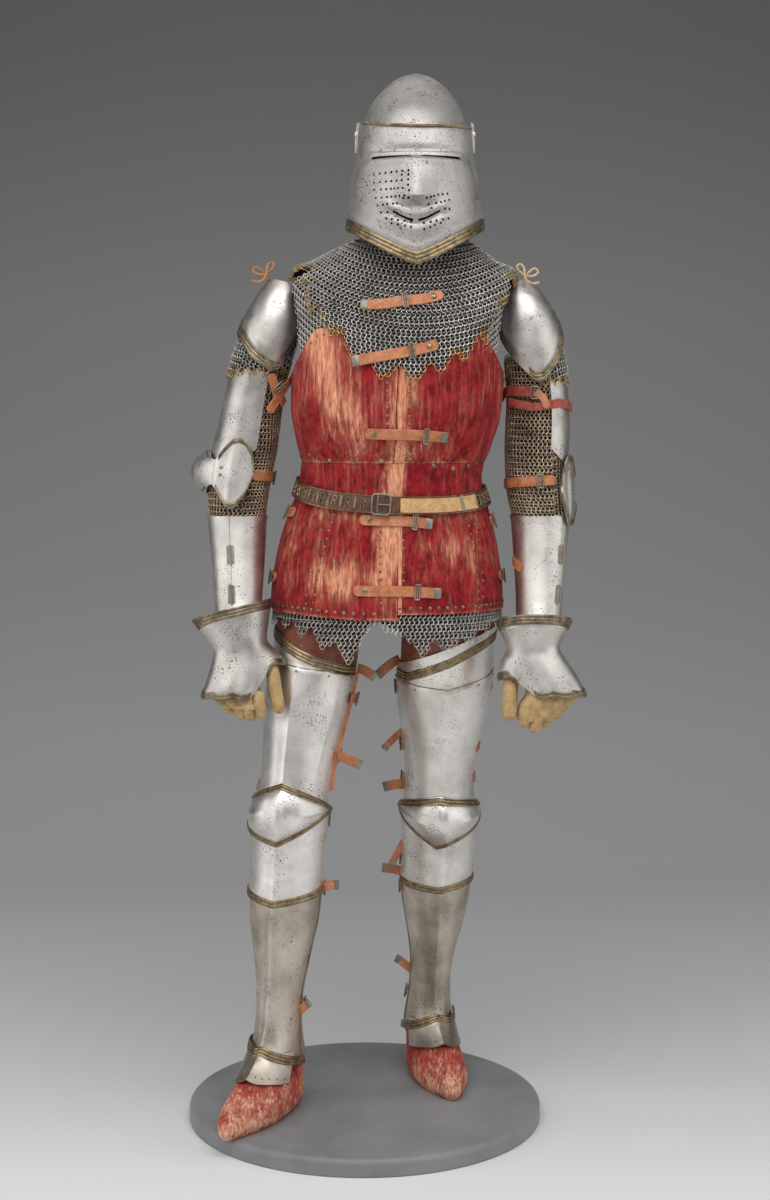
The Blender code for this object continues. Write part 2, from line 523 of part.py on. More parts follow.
def build_mail(trunk):
    """The mail cape below the helmet, and the mail skirt below the coat's hem."""
    hem = curve(CAPE_HEM)
    edge = dags(lambda d: hem((d + 180) % 360 - 180) + 0.024, 360 / 26, 0.024)
    panel("mail_cape", trunk, (0, 360), edge, level(CAPE_TOP), CAPE_OFF, MAIL, 52, 6, MAILWORK)

    # The shoulder of the mail shirt shows in the armhole: it arches over the arm, below the cape.
    arch = curve([(-141, 1.262), (-120, 1.262), (-113, 1.334), (-71, 1.334), (-64, 1.230), (-36, 1.248)])
    under_coat = -CLOTH - 0.0017 - MAIL
    for side, sign in (("right", 1), ("left", -1)):
        panel(f"mail_shoulder_{side}", trunk, (-141 * sign, -36 * sign), lambda d: arch(-abs(d)),
              level(1.350), under_coat, MAIL, 15, 4, MAILWORK)

    skirt_hem = curve(SKIRT_HEM)
    depth = curve([(-180, 0.020), (-70, 0.020), (-30, 0.026), (-16, 0.040), (-9, 0.030), (-5, 0.006),
                   (5, 0.014), (14, 0.038), (27, 0.026), (70, 0.020), (180, 0.020)])
    spacing = 14.4

    def skirt_edge(degrees):
        degrees = (degrees + 180) % 360 - 180
        return dags(skirt_hem, spacing, depth(degrees), first=SKIRT_NOTCH)(degrees)

    start = SKIRT_NOTCH
    inside = -CLOTH - 0.0020 - MAIL
    panel("mail_skirt", trunk, (start, start + 360), skirt_edge, level(MAIL_SKIRT_TOP), inside, MAIL, 50, 1,
          MAILWORK)


def strap(name, form, start, end, half_width, out, thick, look, round_start, columns=7):
    """A strap along a form between two (angle, height) places, with one rounded and one square end."""
    length = (form.point(math.radians(start[0]), start[1])
              - form.point(math.radians(end[0]), end[1])).length

    def skin(u, v, depth):
        degrees = start[0] + (end[0] - start[0]) * u
        middle = start[1] + (end[1] - start[1]) * u
        from_round = (u if round_start else 1.0 - u) * length
        inset = min(1.0, (from_round + 0.0012) / half_width)
        half = half_width * math.sqrt(1.0 - (1.0 - inset) ** 2)
        height = middle + half * (2 * v - 1)
        return form.point(math.radians(degrees), height, out + thick - depth)

    return wall(name, skin, columns, 2, thick, look)


def build_straps(trunk):
    """Five straps that close the front, and the belt with its buckle."""
    over_coat = NEAR - 0.0006
    over_cape = CAPE_OFF + MAIL + NEAR - 0.0006
    # name, chape or rivet end (angle, height), other end, where it lies, rounded at the start
    rows = [
        ("front_strap_1", (-21.5, 1.333), (22, 1.351), over_cape, False),
        ("front_strap_2", (-21, 1.252), (17, 1.276), over_cape, False),
        ("front_strap_3", (-15, 1.138), (26, 1.132), over_coat, True),
        ("front_strap_4", (-14.5, 0.997), (20, 0.990), over_coat, True),
        ("front_strap_5", (-14.5, 0.882), (23, 0.877), over_coat, True),
    ]
    for name, start, end, out, round_start in rows:
        strap(name, trunk, start, end, 0.0095, out, LEATHER, STRAP, round_start)

    def middle(degrees):
        turn = math.radians(degrees)
        return 1.040 - 0.019 * max(math.cos(turn), 0.0) - 0.007 * math.sin(turn)

    half = 0.0165
    panel("belt", trunk, (0, 360), lambda d: middle(d) - half, lambda d: middle(d) + half,
          LOOSE + 0.0002, 0.0035, 40, 1, RED_LEATHER)


def rod_mesh(name, radius, start, end, segments=12):
    """A cylinder between two points, for joining to another shape."""
    start, end = Vector(start), Vector(end)
    along = end - start
    bm = bmesh.new()
    bmesh.ops.create_cone(bm, cap_ends=True, segments=segments, radius1=radius, radius2=radius,
                          depth=along.length)
    turn = along.to_track_quat("Z", "Y").to_matrix().to_4x4()
    bm.transform(Matrix.Translation((start + end) / 2) @ turn)
    mesh = bpy.data.meshes.new(name)
    bm.to_mesh(mesh)
    bm.free()
    return add_object(name, mesh, None, "joined_shapes")


def join_to(obj, piece):
    modifier = obj.modifiers.new("join", "BOOLEAN")
    modifier.operation = "UNION"
    modifier.solver = "EXACT"
    modifier.object = piece
    piece.hide_render = True
    piece.display_type = "WIRE"


def build_helmet(skull_form, visor_form):
    """The skull with the bosses that the visor turns on, the slotted visor, and its border."""
    face = curve([(0, 1.632), (46, 1.632), (58, 1.600), (64, 1.470), (180, 1.464)])
    skull = panel("helmet_skull", skull_form, (0, 360),
                  lambda d: face(abs((d + 180) % 360 - 180)), level(SKULL_TOP), -PLATE, PLATE, 24, 10, STEEL,
                  roof=True)
    pivot = Vector((VISOR_PIVOT_X, VISOR_PIVOT_Y, BASE_HEIGHT + VISOR_PIVOT_HEIGHT))
    for side in (-1, 1):
        boss = rod_mesh(f"pivot_boss_{side}", PIVOT_BOSS_RADIUS, pivot + Vector((side * 0.0835, 0, 0)),
                        pivot + Vector((side * PIVOT_BOSS_REACH, 0, 0)))
        join_to(skull, boss)

    def lower(degrees):
        return 1.411 + 0.060 * abs(math.sin(math.radians(degrees))) ** 1.1

    def row_heights(degrees):
        bottom = lower(degrees)
        mouth = 1.480 + 0.016 * blend(abs(degrees), 0, 24) + 0.004 * blend(abs(degrees), 24, 104)
        return [bottom, bottom + 0.45 * (mouth - bottom), mouth, mouth + MOUTH_SLOT, 1.512, 1.526, 1.547,
                SIGHT_LOW, SIGHT_LOW + SIGHT_SLOT, 1.607, 1.640]

    half = [0, 3.5, 11, 20, 33, 45.5, 60, 75, 90, 104]
    stations = [-d for d in half[:0:-1]] + half
    columns = len(stations) - 1
    middle = columns // 2
    sight = {(middle + side, 7) for side in (1, 2, 3, 4)} | {(middle - 1 - side, 7) for side in (1, 2, 3, 4)}
    mouth = {(middle + side, 2) for side in (1, 2)} | {(middle - 1 - side, 2) for side in (1, 2)}

    def nose(degrees, height):
        return 0.016 * math.exp(-(degrees / 11.0) ** 2) * math.exp(-((height - 1.526) / 0.020) ** 2)

    def visor_skin(u, v, depth):
        degrees = stations[round(u * columns)]
        heights = row_heights(degrees)
        height = heights[round(v * (len(heights) - 1))]
        return visor_form.point(math.radians(degrees), height, PLATE + nose(degrees, height) - depth)

    wall("visor", visor_skin, columns, len(row_heights(0)) - 1, PLATE, STEEL, slots=sight | mouth)

    def border_skin(u, v, depth):
        degrees = stations[round(u * columns)]
        height = lower(degrees) - 0.001 + 0.020 * v
        return visor_form.point(math.radians(degrees), height, PLATE + GAP + 0.0003 + PLATE - depth)

    wall("visor_border", border_skin, columns, 1, PLATE, BRASS)


def build_arm(side, form):
    """Mail sleeve, mail cap, shoulder plate, upper-arm plate, elbow, elbow strap and forearm halves."""
    place = ARM_PLACES[side]
    sleeve_top = curve([(-180, 1.270), (-90, 1.250), (-40, 1.285), (0, 1.325), (60, 1.352), (110, 1.352),
                        (150, 1.330), (180, 1.270)])

    def armpit(degrees, v):
        return place["armpit"] * math.exp(-((degrees + 90) / 20.0) ** 2) * blend(v, 0.6, 1.0)

    panel(f"mail_sleeve_{side}", form, (-180, 180), level(SLEEVE_LOW), sleeve_top, -MAIL, MAIL, 16, 5,
          MAILWORK, bulge=armpit)

    start = place["upper_start"]
    upper_low = curve([(start, 1.110), (start + 30, 1.086), (start + 180, 1.086)])
    panel(f"upper_arm_{side}", form, (start, start + 180), upper_low, level(UPPER_ARM_TOP), OVER_SLEEVE,
          PLATE, 8, 3, STEEL)

    over_plate = NEAR + PLATE + NEAR
    start = place["cap_start"]
    cap_hem = dags(level(place["cap_hem"]), 45, 0.018, first=start)
    cap_top = curve([(-70, 1.300), (-20, 1.318), (10, 1.320), (40, 1.334), (120, 1.342), (200, 1.325)])
    panel(f"mail_cap_{side}", form, (start, start + 180), cap_hem, cap_top, over_plate, MAIL, 8, 3,
          MAILWORK)

    over_cap = over_plate + MAIL + 0.0020
    shoulder_high = curve([(-68, 1.362), (-45, 1.372), (-22, 1.379), (20, 1.383), (90, 1.386), (160, 1.368)])
    panel(f"shoulder_plate_{side}", form, (-67.5, 157.5), curve(place["shoulder_edge"]), shoulder_high,
          over_cap, PLATE, 10, 4, STEEL)

    build_elbow(side, form, place)
    seam = place["hinge_line"]
    forearm = dict(low=level(FOREARM_LOW), out=place["forearm_out"], thick=PLATE, columns=8, rows=3,
                   look=STEEL)
    outer_top, inner_top = level(place["forearm_top"]), level(FOREARM_INNER_TOP)
    panel(f"forearm_outer_{side}", form, (seam, seam + 179.6), high=outer_top, **forearm)
    panel(f"forearm_inner_{side}", form, (seam + 180.4, seam + 359.2), high=inner_top, **forearm)


def build_elbow(side, form, place):
    """The elbow cup and its oval wing in one plate, and the strap that ties it round the joint."""
    centre = place["elbow_centre"]
    twist = place["elbow_turn"]
    half_height = curve([(-22, 0.004), (-19, 0.024), (-12, 0.042), (-2, 0.056), (8, 0.060), (18, 0.057),
                         (27, 0.045), (34, 0.030), (40, 0.020), (50, 0.022), (65, 0.031), (80, 0.035),
                         (100, 0.036), (140, 0.034), (178, 0.028)])
    over_plate = NEAR + PLATE + GAP
    start, end = -22, 178
    steps = [-22, -19, -12, -2, 8, 18, 27, 34, 40, 52, 68, 88, 110, 134, 156, 178]
    along = curve([(k / (len(steps) - 1), value) for k, value in enumerate(steps)])

    def skin(u, v, depth):
        local = along(u)
        across = 2 * v - 1
        height = centre + half_height(local) * across
        wing = 0.004 + 0.004 * blend(abs(local - 9), 8, 30)
        if local >= 40:
            wing = place["elbow_lift"] + 0.0076 * (1 - blend(local, 45, 80))
        cup = 0.026 * blend(local, 40, 95) * (1 - blend(local, 130, 185)) * (1 - across**2)
        return form.point(math.radians(local + twist), height, over_plate + wing + cup + PLATE - depth)

    wall(f"elbow_{side}", skin, len(steps) - 1, 4, PLATE, STEEL)
    middle, half = place["elbow_strap"], 0.007
    panel(f"elbow_strap_{side}", form, (end + 4 + twist, 360 + start - 2 + twist),
          level(middle - half), level(middle + half), OVER_SLEEVE, LEATHER, 8, 1, STRAP)


def build_hand(side, form, glove_form):
    """Gauntlet with its flared cuff and thumb guard, and the glove with its thumb inside it."""
    place = HAND_PLACES[side]
    tilt_front, tilt_side = place["rim_tilt"]

    def rim(degrees):
        turn = math.radians(degrees)
        return place["rim"] + tilt_front * math.cos(turn) + tilt_side * math.sin(turn)

    guard = place["guard"]
    knuckle = place["knuckle"]
    lower = curve([(-180, guard), (-70, guard), (-62, guard - 0.016), (-54, knuckle + 0.010),
                   (-46, knuckle), (95, knuckle), (115, knuckle + 0.010), (140, guard - 0.020),
                   (160, guard), (180, guard)])

    def thumb_guard(degrees, v):
        height = lower(degrees) + (rim(degrees) - lower(degrees)) * v
        beside = math.exp(-((degrees + 96) / 30.0) ** 2)
        return 0.031 * beside * (1.0 - blend(height, guard, guard + 0.040))

    panel(f"gauntlet_{side}", form, (-180, 180), lower, rim, 0.0, PLATE, 16, 5, STEEL, bulge=thumb_guard)

    bottom, top = place["glove"]

    def glove_skin(u, v, depth):
        turn = 2 * math.pi * u
        height = bottom + (top - bottom) * v
        across = math.sin(turn)
        finger = 0.003 * abs(math.sin(math.pi * 2 * across)) * (1 - blend(v, 0.35, 0.6)) * blend(v, 0.02, 0.1)
        return glove_form.point(turn, height, finger - depth)

    wall(f"glove_{side}", glove_skin, 24, 4, LEATHER, BUFF, around=True, floor=True)

    root, tip = Vector(place["thumb_root"]), Vector(place["thumb_tip"])
    radius = place["thumb_radius"]
    profile = curve([(0.0, 0.45), (0.10, 0.78), (0.28, 0.97), (0.5, 1.0), (0.8, 0.92), (1.0, 0.84)])

    def thumb_skin(u, v, depth):
        turn = 2 * math.pi * u
        r = radius * profile(v) - depth
        middle = tip.lerp(root, v)
        return Vector((middle.x + r * math.cos(turn), middle.y + r * math.sin(turn),
                       BASE_HEIGHT + middle.z + (depth if v == 0 else 0.0)))

    wall(f"glove_thumb_{side}", thumb_skin, 10, 4, LEATHER, BUFF, around=True, floor=True)


def build_leg(side, form, foot, place):
    """Thigh leather and plate, knee, the plate below it, both halves of the shin, ankle plate and shoe."""
    def leather_flare(degrees, v):
        inward = math.exp(-((degrees + 80) / 40.0) ** 2)
        outward = math.exp(-((degrees - 95) / 40.0) ** 2)
        return (place["inner_flare"] * inward + place["hip_flare"] * outward) * blend(v, 0.834, 1.0)

    panel(f"thigh_leather_{side}", form, (-180, 180), level(THIGH_LOW), level(THIGH_LEATHER_TOP),
          -LEATHER - UNDER_PLATE, LEATHER, 16, 6, RED_LEATHER, bulge=leather_flare)

    def thigh_top(degrees):
        return 0.780 + 0.033 * math.sin(math.radians(degrees))

    panel(f"thigh_plate_{side}", form, (-90, 90), level(THIGH_LOW), thigh_top, GAP, PLATE, 8, 4, STEEL)

    over = GAP + PLATE + NEAR
    panel(f"knee_lower_{side}", form, (-90, 90), curve(place["lame_low"]), curve(place["lame_high"]), over,
          PLATE, 8, 3, STEEL)

    def cup(degrees, v):
        round_cup = 0.016 * math.cos(math.radians(degrees) * 0.86) ** 2 * math.sin(math.pi * v) ** 0.9
        return round_cup - 0.0030 * blend(v, 0.75, 1.0)

    panel(f"knee_{side}", form, (-90, 90), curve(place["knee_low"]), curve(place["knee_high"]),
          over + PLATE + GAP, PLATE, 8, 4, STEEL, bulge=cup)

    shin_low = curve([(-180, 0.082), (-90, 0.078), (0, 0.106), (90, 0.078), (180, 0.082)])
    shin = dict(low=shin_low, out=GAP, thick=PLATE, columns=8, rows=6, look=STEEL)
    panel(f"shin_front_{side}", form, (-90, 90), high=level(SHIN_FRONT_TOP), **shin)
    panel(f"shin_back_{side}", form, (90.8, 269.2), high=level(SHIN_BACK_TOP), **shin)

    ankle_low = curve([(-85, 0.050), (-40, 0.062), (0, 0.068), (40, 0.062), (85, 0.050)])
    panel(f"ankle_plate_{side}", form, (-67.5, 67.5), ankle_low, level(ANKLE_PLATE_TOP), over + 0.0012,
          PLATE, 6, 3, STEEL)

    def shoe(u, v, depth):
        turn = 2 * math.pi * u
        height = SHOE_LOW + (SHOE_TOP - SHOE_LOW) * v + (depth if v == 0 else 0.0)
        low = foot.point(turn, min(height, 0.078), -depth)
        high = form.point(turn, height, -0.0008 - depth)
        return low.lerp(high, blend(height, 0.048, 0.082))

    wall(f"shoe_{side}", shoe, 16, 6, SHOE_WALL, VELVET, around=True, floor=True)


def main():
    for obj in list(bpy.data.objects):
        bpy.data.objects.remove(obj)
    for name in ("armour", "joined_shapes"):
        bpy.context.scene.collection.children.link(bpy.data.collections.new(name))

    trunk = Form(TRUNK_COLUMNS, TRUNK, ROUNDNESS["trunk"])
    build_base()
    build_coat(trunk)
    build_mail(trunk)
    build_straps(trunk)
    build_helmet(Form(LIMB_COLUMNS, SKULL, ROUNDNESS["limb"]), Form(LIMB_COLUMNS, VISOR, ROUNDNESS["trunk"]))
    build_arm("right", Form(LIMB_COLUMNS, ARM_RIGHT, ROUNDNESS["limb"], mirrored=True))
    build_arm("left", Form(LIMB_COLUMNS, ARM_LEFT, ROUNDNESS["limb"]))
    build_hand("right", Form(LIMB_COLUMNS, HAND_RIGHT, ROUNDNESS["trunk"], mirrored=True),
               Form(LIMB_COLUMNS, GLOVE_RIGHT, ROUNDNESS["trunk"], mirrored=True))
    build_hand("left", Form(LIMB_COLUMNS, HAND_LEFT, ROUNDNESS["trunk"]),
               Form(LIMB_COLUMNS, GLOVE_LEFT, ROUNDNESS["trunk"]))
    for side, leg, foot in (("right", LEG_RIGHT, FOOT_RIGHT), ("left", LEG_LEFT, FOOT_LEFT)):
        mirrored = side == "right"
        build_leg(side, Form(LIMB_COLUMNS, leg, ROUNDNESS["limb"], mirrored),
                  Form(LIMB_COLUMNS, foot, ROUNDNESS["limb"], mirrored), LEG_PLACES[side])


main()
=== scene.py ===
"""The looks of a suit of plate armour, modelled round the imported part.

Metres, in the part's frame: +Z up, the front of the suit faces -Y, and right and left are the wearer's.
Most pieces are worked out from the part's own sections, read finely. A section is read at an angle in
degrees, 0 in front and growing towards +X (on the right limbs towards -X), and at a height above the
base's top face.
"""

import math

import bpy
import numpy as np
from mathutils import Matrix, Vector


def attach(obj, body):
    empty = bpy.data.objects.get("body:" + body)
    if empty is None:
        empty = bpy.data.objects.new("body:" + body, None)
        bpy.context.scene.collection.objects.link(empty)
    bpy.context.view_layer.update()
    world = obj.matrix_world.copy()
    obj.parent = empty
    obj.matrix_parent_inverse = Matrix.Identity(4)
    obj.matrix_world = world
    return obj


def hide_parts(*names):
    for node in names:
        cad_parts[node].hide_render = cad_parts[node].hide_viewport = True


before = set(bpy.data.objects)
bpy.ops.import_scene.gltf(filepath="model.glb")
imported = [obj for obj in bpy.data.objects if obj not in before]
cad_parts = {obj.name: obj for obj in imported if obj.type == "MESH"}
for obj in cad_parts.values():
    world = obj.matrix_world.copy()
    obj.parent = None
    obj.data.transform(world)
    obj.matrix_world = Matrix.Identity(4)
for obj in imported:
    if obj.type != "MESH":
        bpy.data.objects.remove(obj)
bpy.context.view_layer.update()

BASE_TOP = 0.03
PLATE = 0.0016
MAIL = 0.0025
CAPE_OFF = 0.003
LOOSE = 0.004
NEAR = 0.0016
GAP = 0.0008
KEEL_SPREAD = 42.0
OVER_CAPE = CAPE_OFF + MAIL + 0.001

TRUNK_COLUMNS = "height side_rise back_rise x y side front back"
TRUNK = [
    (0.7, 0.0, 0.0, 0.04, 0.04, 0.206, 0.144, 0.136),
    (0.79, 0.0, 0.0, 0.039, 0.04, 0.203, 0.142, 0.134),
    (0.835, 0.0, 0.0, 0.038, 0.04, 0.198, 0.14, 0.132),
    (0.88, 0.0, 0.0, 0.038, 0.04, 0.195, 0.137, 0.129),
    (0.93, 0.0, 0.0, 0.039, 0.04, 0.188, 0.132, 0.124),
    (0.97, 0.0, 0.0, 0.04, 0.04, 0.179, 0.127, 0.119),
    (1.01, 0.0, 0.0, 0.042, 0.04, 0.166, 0.122, 0.113),
    (1.055, 0.0, 0.0, 0.044, 0.04, 0.152, 0.118, 0.108),
    (1.085, 0.0, 0.0, 0.047, 0.04, 0.154, 0.121, 0.109),
    (1.11, 0.0, 0.0, 0.05, 0.04, 0.161, 0.131, 0.112),
    (1.14, 0.0, 0.0, 0.052, 0.04, 0.17, 0.139, 0.117),
    (1.17, 0.0, 0.0, 0.053, 0.04, 0.176, 0.143, 0.122),
    (1.21, 0.0, 0.0, 0.055, 0.04, 0.178, 0.144, 0.126),
    (1.245, 0.02, 0.005, 0.056, 0.04, 0.178, 0.141, 0.127),
    (1.28, 0.06, 0.015, 0.058, 0.039, 0.183, 0.134, 0.124),
    (1.31, 0.085, 0.028, 0.061, 0.038, 0.188, 0.124, 0.117),
    (1.345, 0.071, 0.034, 0.066, 0.037, 0.15, 0.111, 0.106),
    (1.38, 0.056, 0.032, 0.073, 0.037, 0.117, 0.099, 0.1),
    (1.415, 0.038, 0.024, 0.08, 0.038, 0.087, 0.092, 0.098),
    (1.45, 0.02, 0.012, 0.083, 0.04, 0.0828, 0.0931, 0.1006),
    (1.5, 0.0, 0.0, 0.084, 0.042, 0.0832, 0.0956, 0.1051),
]
LIMB_COLUMNS = "height x y side front back keel facing"
LEG_RIGHT = [
    (0.04, -0.146, -0.025, 0.045, 0.178, 0.066, 0.004, -23),
    (0.058, -0.146, -0.025, 0.043, 0.142, 0.063, 0.003, -23),
    (0.074, -0.147, -0.025, 0.041, 0.108, 0.06, 0.002, -22),
    (0.092, -0.147, -0.024, 0.039, 0.082, 0.057, 0.002, -21),
    (0.112, -0.147, -0.023, 0.037, 0.064, 0.053, 0.003, -20),
    (0.145, -0.146, -0.021, 0.035, 0.053, 0.049, 0.004, -18),
    (0.19, -0.144, -0.018, 0.036, 0.052, 0.053, 0.005, -17),
    (0.23, -0.141, -0.015, 0.041, 0.054, 0.061, 0.005, -16),
    (0.272, -0.139, -0.013, 0.048, 0.057, 0.07, 0.006, -15),
    (0.32, -0.136, -0.011, 0.056, 0.06, 0.077, 0.006, -14),
    (0.358, -0.134, -0.009, 0.058, 0.062, 0.074, 0.006, -13),
    (0.4, -0.132, -0.007, 0.057, 0.063, 0.066, 0.006, -12),
    (0.44, -0.13, -0.006, 0.058, 0.065, 0.061, 0.006, -12),
    (0.475, -0.127, -0.005, 0.06, 0.067, 0.06, 0.006, -12),
    (0.515, -0.122, -0.003, 0.059, 0.067, 0.062, 0.006, -11),
    (0.565, -0.114, 0.002, 0.058, 0.068, 0.066, 0.006, -15),
    (0.62, -0.106, 0.009, 0.063, 0.073, 0.072, 0.006, -16),
    (0.68, -0.096, 0.017, 0.069, 0.079, 0.08, 0.006, -17),
    (0.73, -0.087, 0.024, 0.071, 0.083, 0.084, 0.006, -17),
    (0.78, -0.08, 0.031, 0.0705, 0.083, 0.085, 0.005, -17),
    (0.83, -0.076, 0.037, 0.0695, 0.08, 0.084, 0.004, -16),
    (0.87, -0.074, 0.04, 0.069, 0.078, 0.082, 0.003, -15),
]
LEG_LEFT = [
    (0.04, 0.111, 0.168, 0.045, 0.174, 0.066, 0.004, 12),
    (0.058, 0.111, 0.168, 0.043, 0.138, 0.063, 0.003, 12),
    (0.074, 0.111, 0.168, 0.041, 0.106, 0.06, 0.002, 12),
    (0.092, 0.111, 0.167, 0.039, 0.08, 0.057, 0.002, 11),
    (0.112, 0.112, 0.165, 0.037, 0.063, 0.053, 0.003, 10),
    (0.145, 0.114, 0.161, 0.034, 0.053, 0.049, 0.004, 9),
    (0.19, 0.117, 0.156, 0.034, 0.052, 0.053, 0.005, 8),
    (0.23, 0.12, 0.15, 0.039, 0.054, 0.061, 0.005, 7),
    (0.272, 0.123, 0.144, 0.048, 0.057, 0.07, 0.006, 6),
    (0.32, 0.124, 0.137, 0.056, 0.06, 0.077, 0.006, 6),
    (0.358, 0.125, 0.131, 0.058, 0.062, 0.074, 0.006, 5),
    (0.4, 0.127, 0.122, 0.058, 0.063, 0.066, 0.006, 5),
    (0.44, 0.129, 0.113, 0.06, 0.065, 0.061, 0.006, 5),
    (0.475, 0.129, 0.107, 0.061, 0.067, 0.06, 0.006, 4),
    (0.515, 0.128, 0.1, 0.059, 0.067, 0.062, 0.006, 4),
    (0.565, 0.129, 0.092, 0.059, 0.068, 0.066, 0.006, 3),
    (0.62, 0.132, 0.08, 0.066, 0.074, 0.072, 0.006, 3),
    (0.68, 0.135, 0.068, 0.075, 0.08, 0.08, 0.005, 2),
    (0.73, 0.137, 0.057, 0.079, 0.083, 0.086, 0.004, 2),
    (0.78, 0.14, 0.047, 0.078, 0.083, 0.089, 0.003, 1),
    (0.83, 0.144, 0.04, 0.08, 0.08, 0.089, 0.001, 0),
    (0.87, 0.143, 0.04, 0.078, 0.078, 0.088, 0.0, 0),
]
FOOT_RIGHT = [
    (0.0, -0.1735, -0.096, 0.041, 0.112, 0.125, 0.02, -23),
    (0.01, -0.1735, -0.096, 0.047, 0.117, 0.132, 0.026, -23),
    (0.024, -0.1735, -0.096, 0.0485, 0.115, 0.133, 0.026, -23),
    (0.04, -0.168, -0.083, 0.046, 0.106, 0.12, 0.018, -23),
    (0.058, -0.16, -0.06, 0.043, 0.096, 0.099, 0.008, -23),
    (0.078, -0.151, -0.036, 0.04, 0.088, 0.069, 0.002, -22),
]
FOOT_LEFT = [
    (0.0, 0.126, 0.096, 0.041, 0.107, 0.12, 0.018, 12),
    (0.01, 0.126, 0.096, 0.046, 0.112, 0.127, 0.024, 12),
    (0.024, 0.126, 0.096, 0.0475, 0.11, 0.128, 0.024, 12),
    (0.04, 0.1235, 0.108, 0.045, 0.101, 0.116, 0.016, 12),
    (0.058, 0.1185, 0.132, 0.042, 0.092, 0.096, 0.008, 12),
    (0.078, 0.1135, 0.157, 0.04, 0.085, 0.068, 0.002, 12),
]
ARM_RIGHT = [
    (0.78, -0.206, -0.049, 0.032, 0.0296, 0.0295, 0.0, 0),
    (0.81, -0.2085, -0.044, 0.033, 0.031, 0.031, 0.0, 0),
    (0.86, -0.21, -0.022, 0.036, 0.034, 0.034, 0.0, 0),
    (0.91, -0.211, -0.002, 0.04, 0.038, 0.038, 0.0, 0),
    (0.96, -0.213, 0.016, 0.044, 0.043, 0.043, 0.0, 0),
    (1.0, -0.214, 0.029, 0.047, 0.046, 0.046, 0.0, 0),
    (1.03, -0.213, 0.039, 0.05, 0.049, 0.049, 0.0, 0),
    (1.07, -0.209, 0.047, 0.053, 0.052, 0.052, 0.0, 0),
    (1.11, -0.201, 0.05, 0.053, 0.053, 0.053, 0.0, 0),
    (1.15, -0.193, 0.05, 0.05, 0.052, 0.052, 0.0, 0),
    (1.2, -0.184, 0.049, 0.048, 0.052, 0.052, 0.0, 0),
    (1.25, -0.172, 0.047, 0.047, 0.053, 0.053, 0.0, 0),
    (1.3, -0.156, 0.046, 0.045, 0.053, 0.053, 0.0, 0),
    (1.34, -0.146, 0.046, 0.037, 0.046, 0.046, 0.0, 0),
    (1.368, -0.14, 0.046, 0.025, 0.034, 0.034, 0.0, 0),
    (1.386, -0.137, 0.046, 0.013, 0.02, 0.02, 0.0, 0),
    (1.396, -0.136, 0.046, 0.006, 0.01, 0.01, 0.0, 0),
]
ARM_LEFT = [
    (0.78, 0.2805, -0.0562, 0.032, 0.031, 0.0285, 0.0, 0),
    (0.81, 0.287, -0.047, 0.033, 0.031, 0.031, 0.0, 0),
    (0.86, 0.2915, -0.022, 0.036, 0.034, 0.034, 0.0, 0),
    (0.91, 0.294, -0.002, 0.04, 0.038, 0.038, 0.0, 0),
    (0.96, 0.295, 0.016, 0.044, 0.043, 0.043, 0.0, 0),
    (1.0, 0.295, 0.031, 0.047, 0.046, 0.046, 0.0, 0),
    (1.03, 0.292, 0.043, 0.05, 0.049, 0.049, 0.0, 0),
    (1.07, 0.29, 0.052, 0.051, 0.052, 0.052, 0.0, 0),
    (1.11, 0.29, 0.055, 0.052, 0.053, 0.053, 0.0, 0),
    (1.15, 0.291, 0.054, 0.052, 0.052, 0.052, 0.0, 0),
    (1.2, 0.29, 0.052, 0.05, 0.052, 0.052, 0.0, 0),
    (1.25, 0.284, 0.049, 0.048, 0.053, 0.053, 0.0, 0),
    (1.3, 0.275, 0.047, 0.045, 0.053, 0.053, 0.0, 0),
    (1.34, 0.268, 0.046, 0.037, 0.046, 0.046, 0.0, 0),
    (1.364, 0.263, 0.046, 0.025, 0.034, 0.034, 0.0, 0),
    (1.38, 0.26, 0.046, 0.013, 0.02, 0.02, 0.0, 0),
    (1.39, 0.259, 0.046, 0.006, 0.01, 0.01, 0.0, 0),
]
HAND_RIGHT = [
    (0.69, -0.226, -0.071, 0.045, 0.033, 0.034, 0.0, 0),
    (0.715, -0.219, -0.069, 0.045, 0.034, 0.034, 0.0, 0),
    (0.745, -0.2095, -0.06, 0.045, 0.035, 0.033, 0.0, 0),
    (0.765, -0.206, -0.054, 0.044, 0.035, 0.032, 0.0, 0),
    (0.78, -0.205, -0.05, 0.0435, 0.036, 0.033, 0.0, 0),
    (0.802, -0.2125, -0.045, 0.0495, 0.042, 0.04, 0.0, 0),
    (0.83, -0.2215, -0.037, 0.062, 0.053, 0.052, 0.0, 0),
    (0.87, -0.2235, -0.029, 0.066, 0.06, 0.06, 0.0, 0),
]
HAND_LEFT = [
    (0.69, 0.326, -0.075, 0.046, 0.033, 0.034, 0.0, 0),
    (0.715, 0.315, -0.072, 0.0465, 0.034, 0.034, 0.0, 0),
    (0.74, 0.3015, -0.066, 0.0475, 0.035, 0.033, 0.0, 0),
    (0.764, 0.287, -0.06, 0.046, 0.035, 0.032, 0.0, 0),
    (0.783, 0.2795, -0.055, 0.0425, 0.036, 0.033, 0.0, 0),
    (0.802, 0.2795, -0.051, 0.049, 0.042, 0.04, 0.0, 0),
    (0.828, 0.281, -0.045, 0.06, 0.052, 0.05, 0.0, 0),
    (0.87, 0.284, -0.038, 0.061, 0.058, 0.054, 0.0, 0),
]
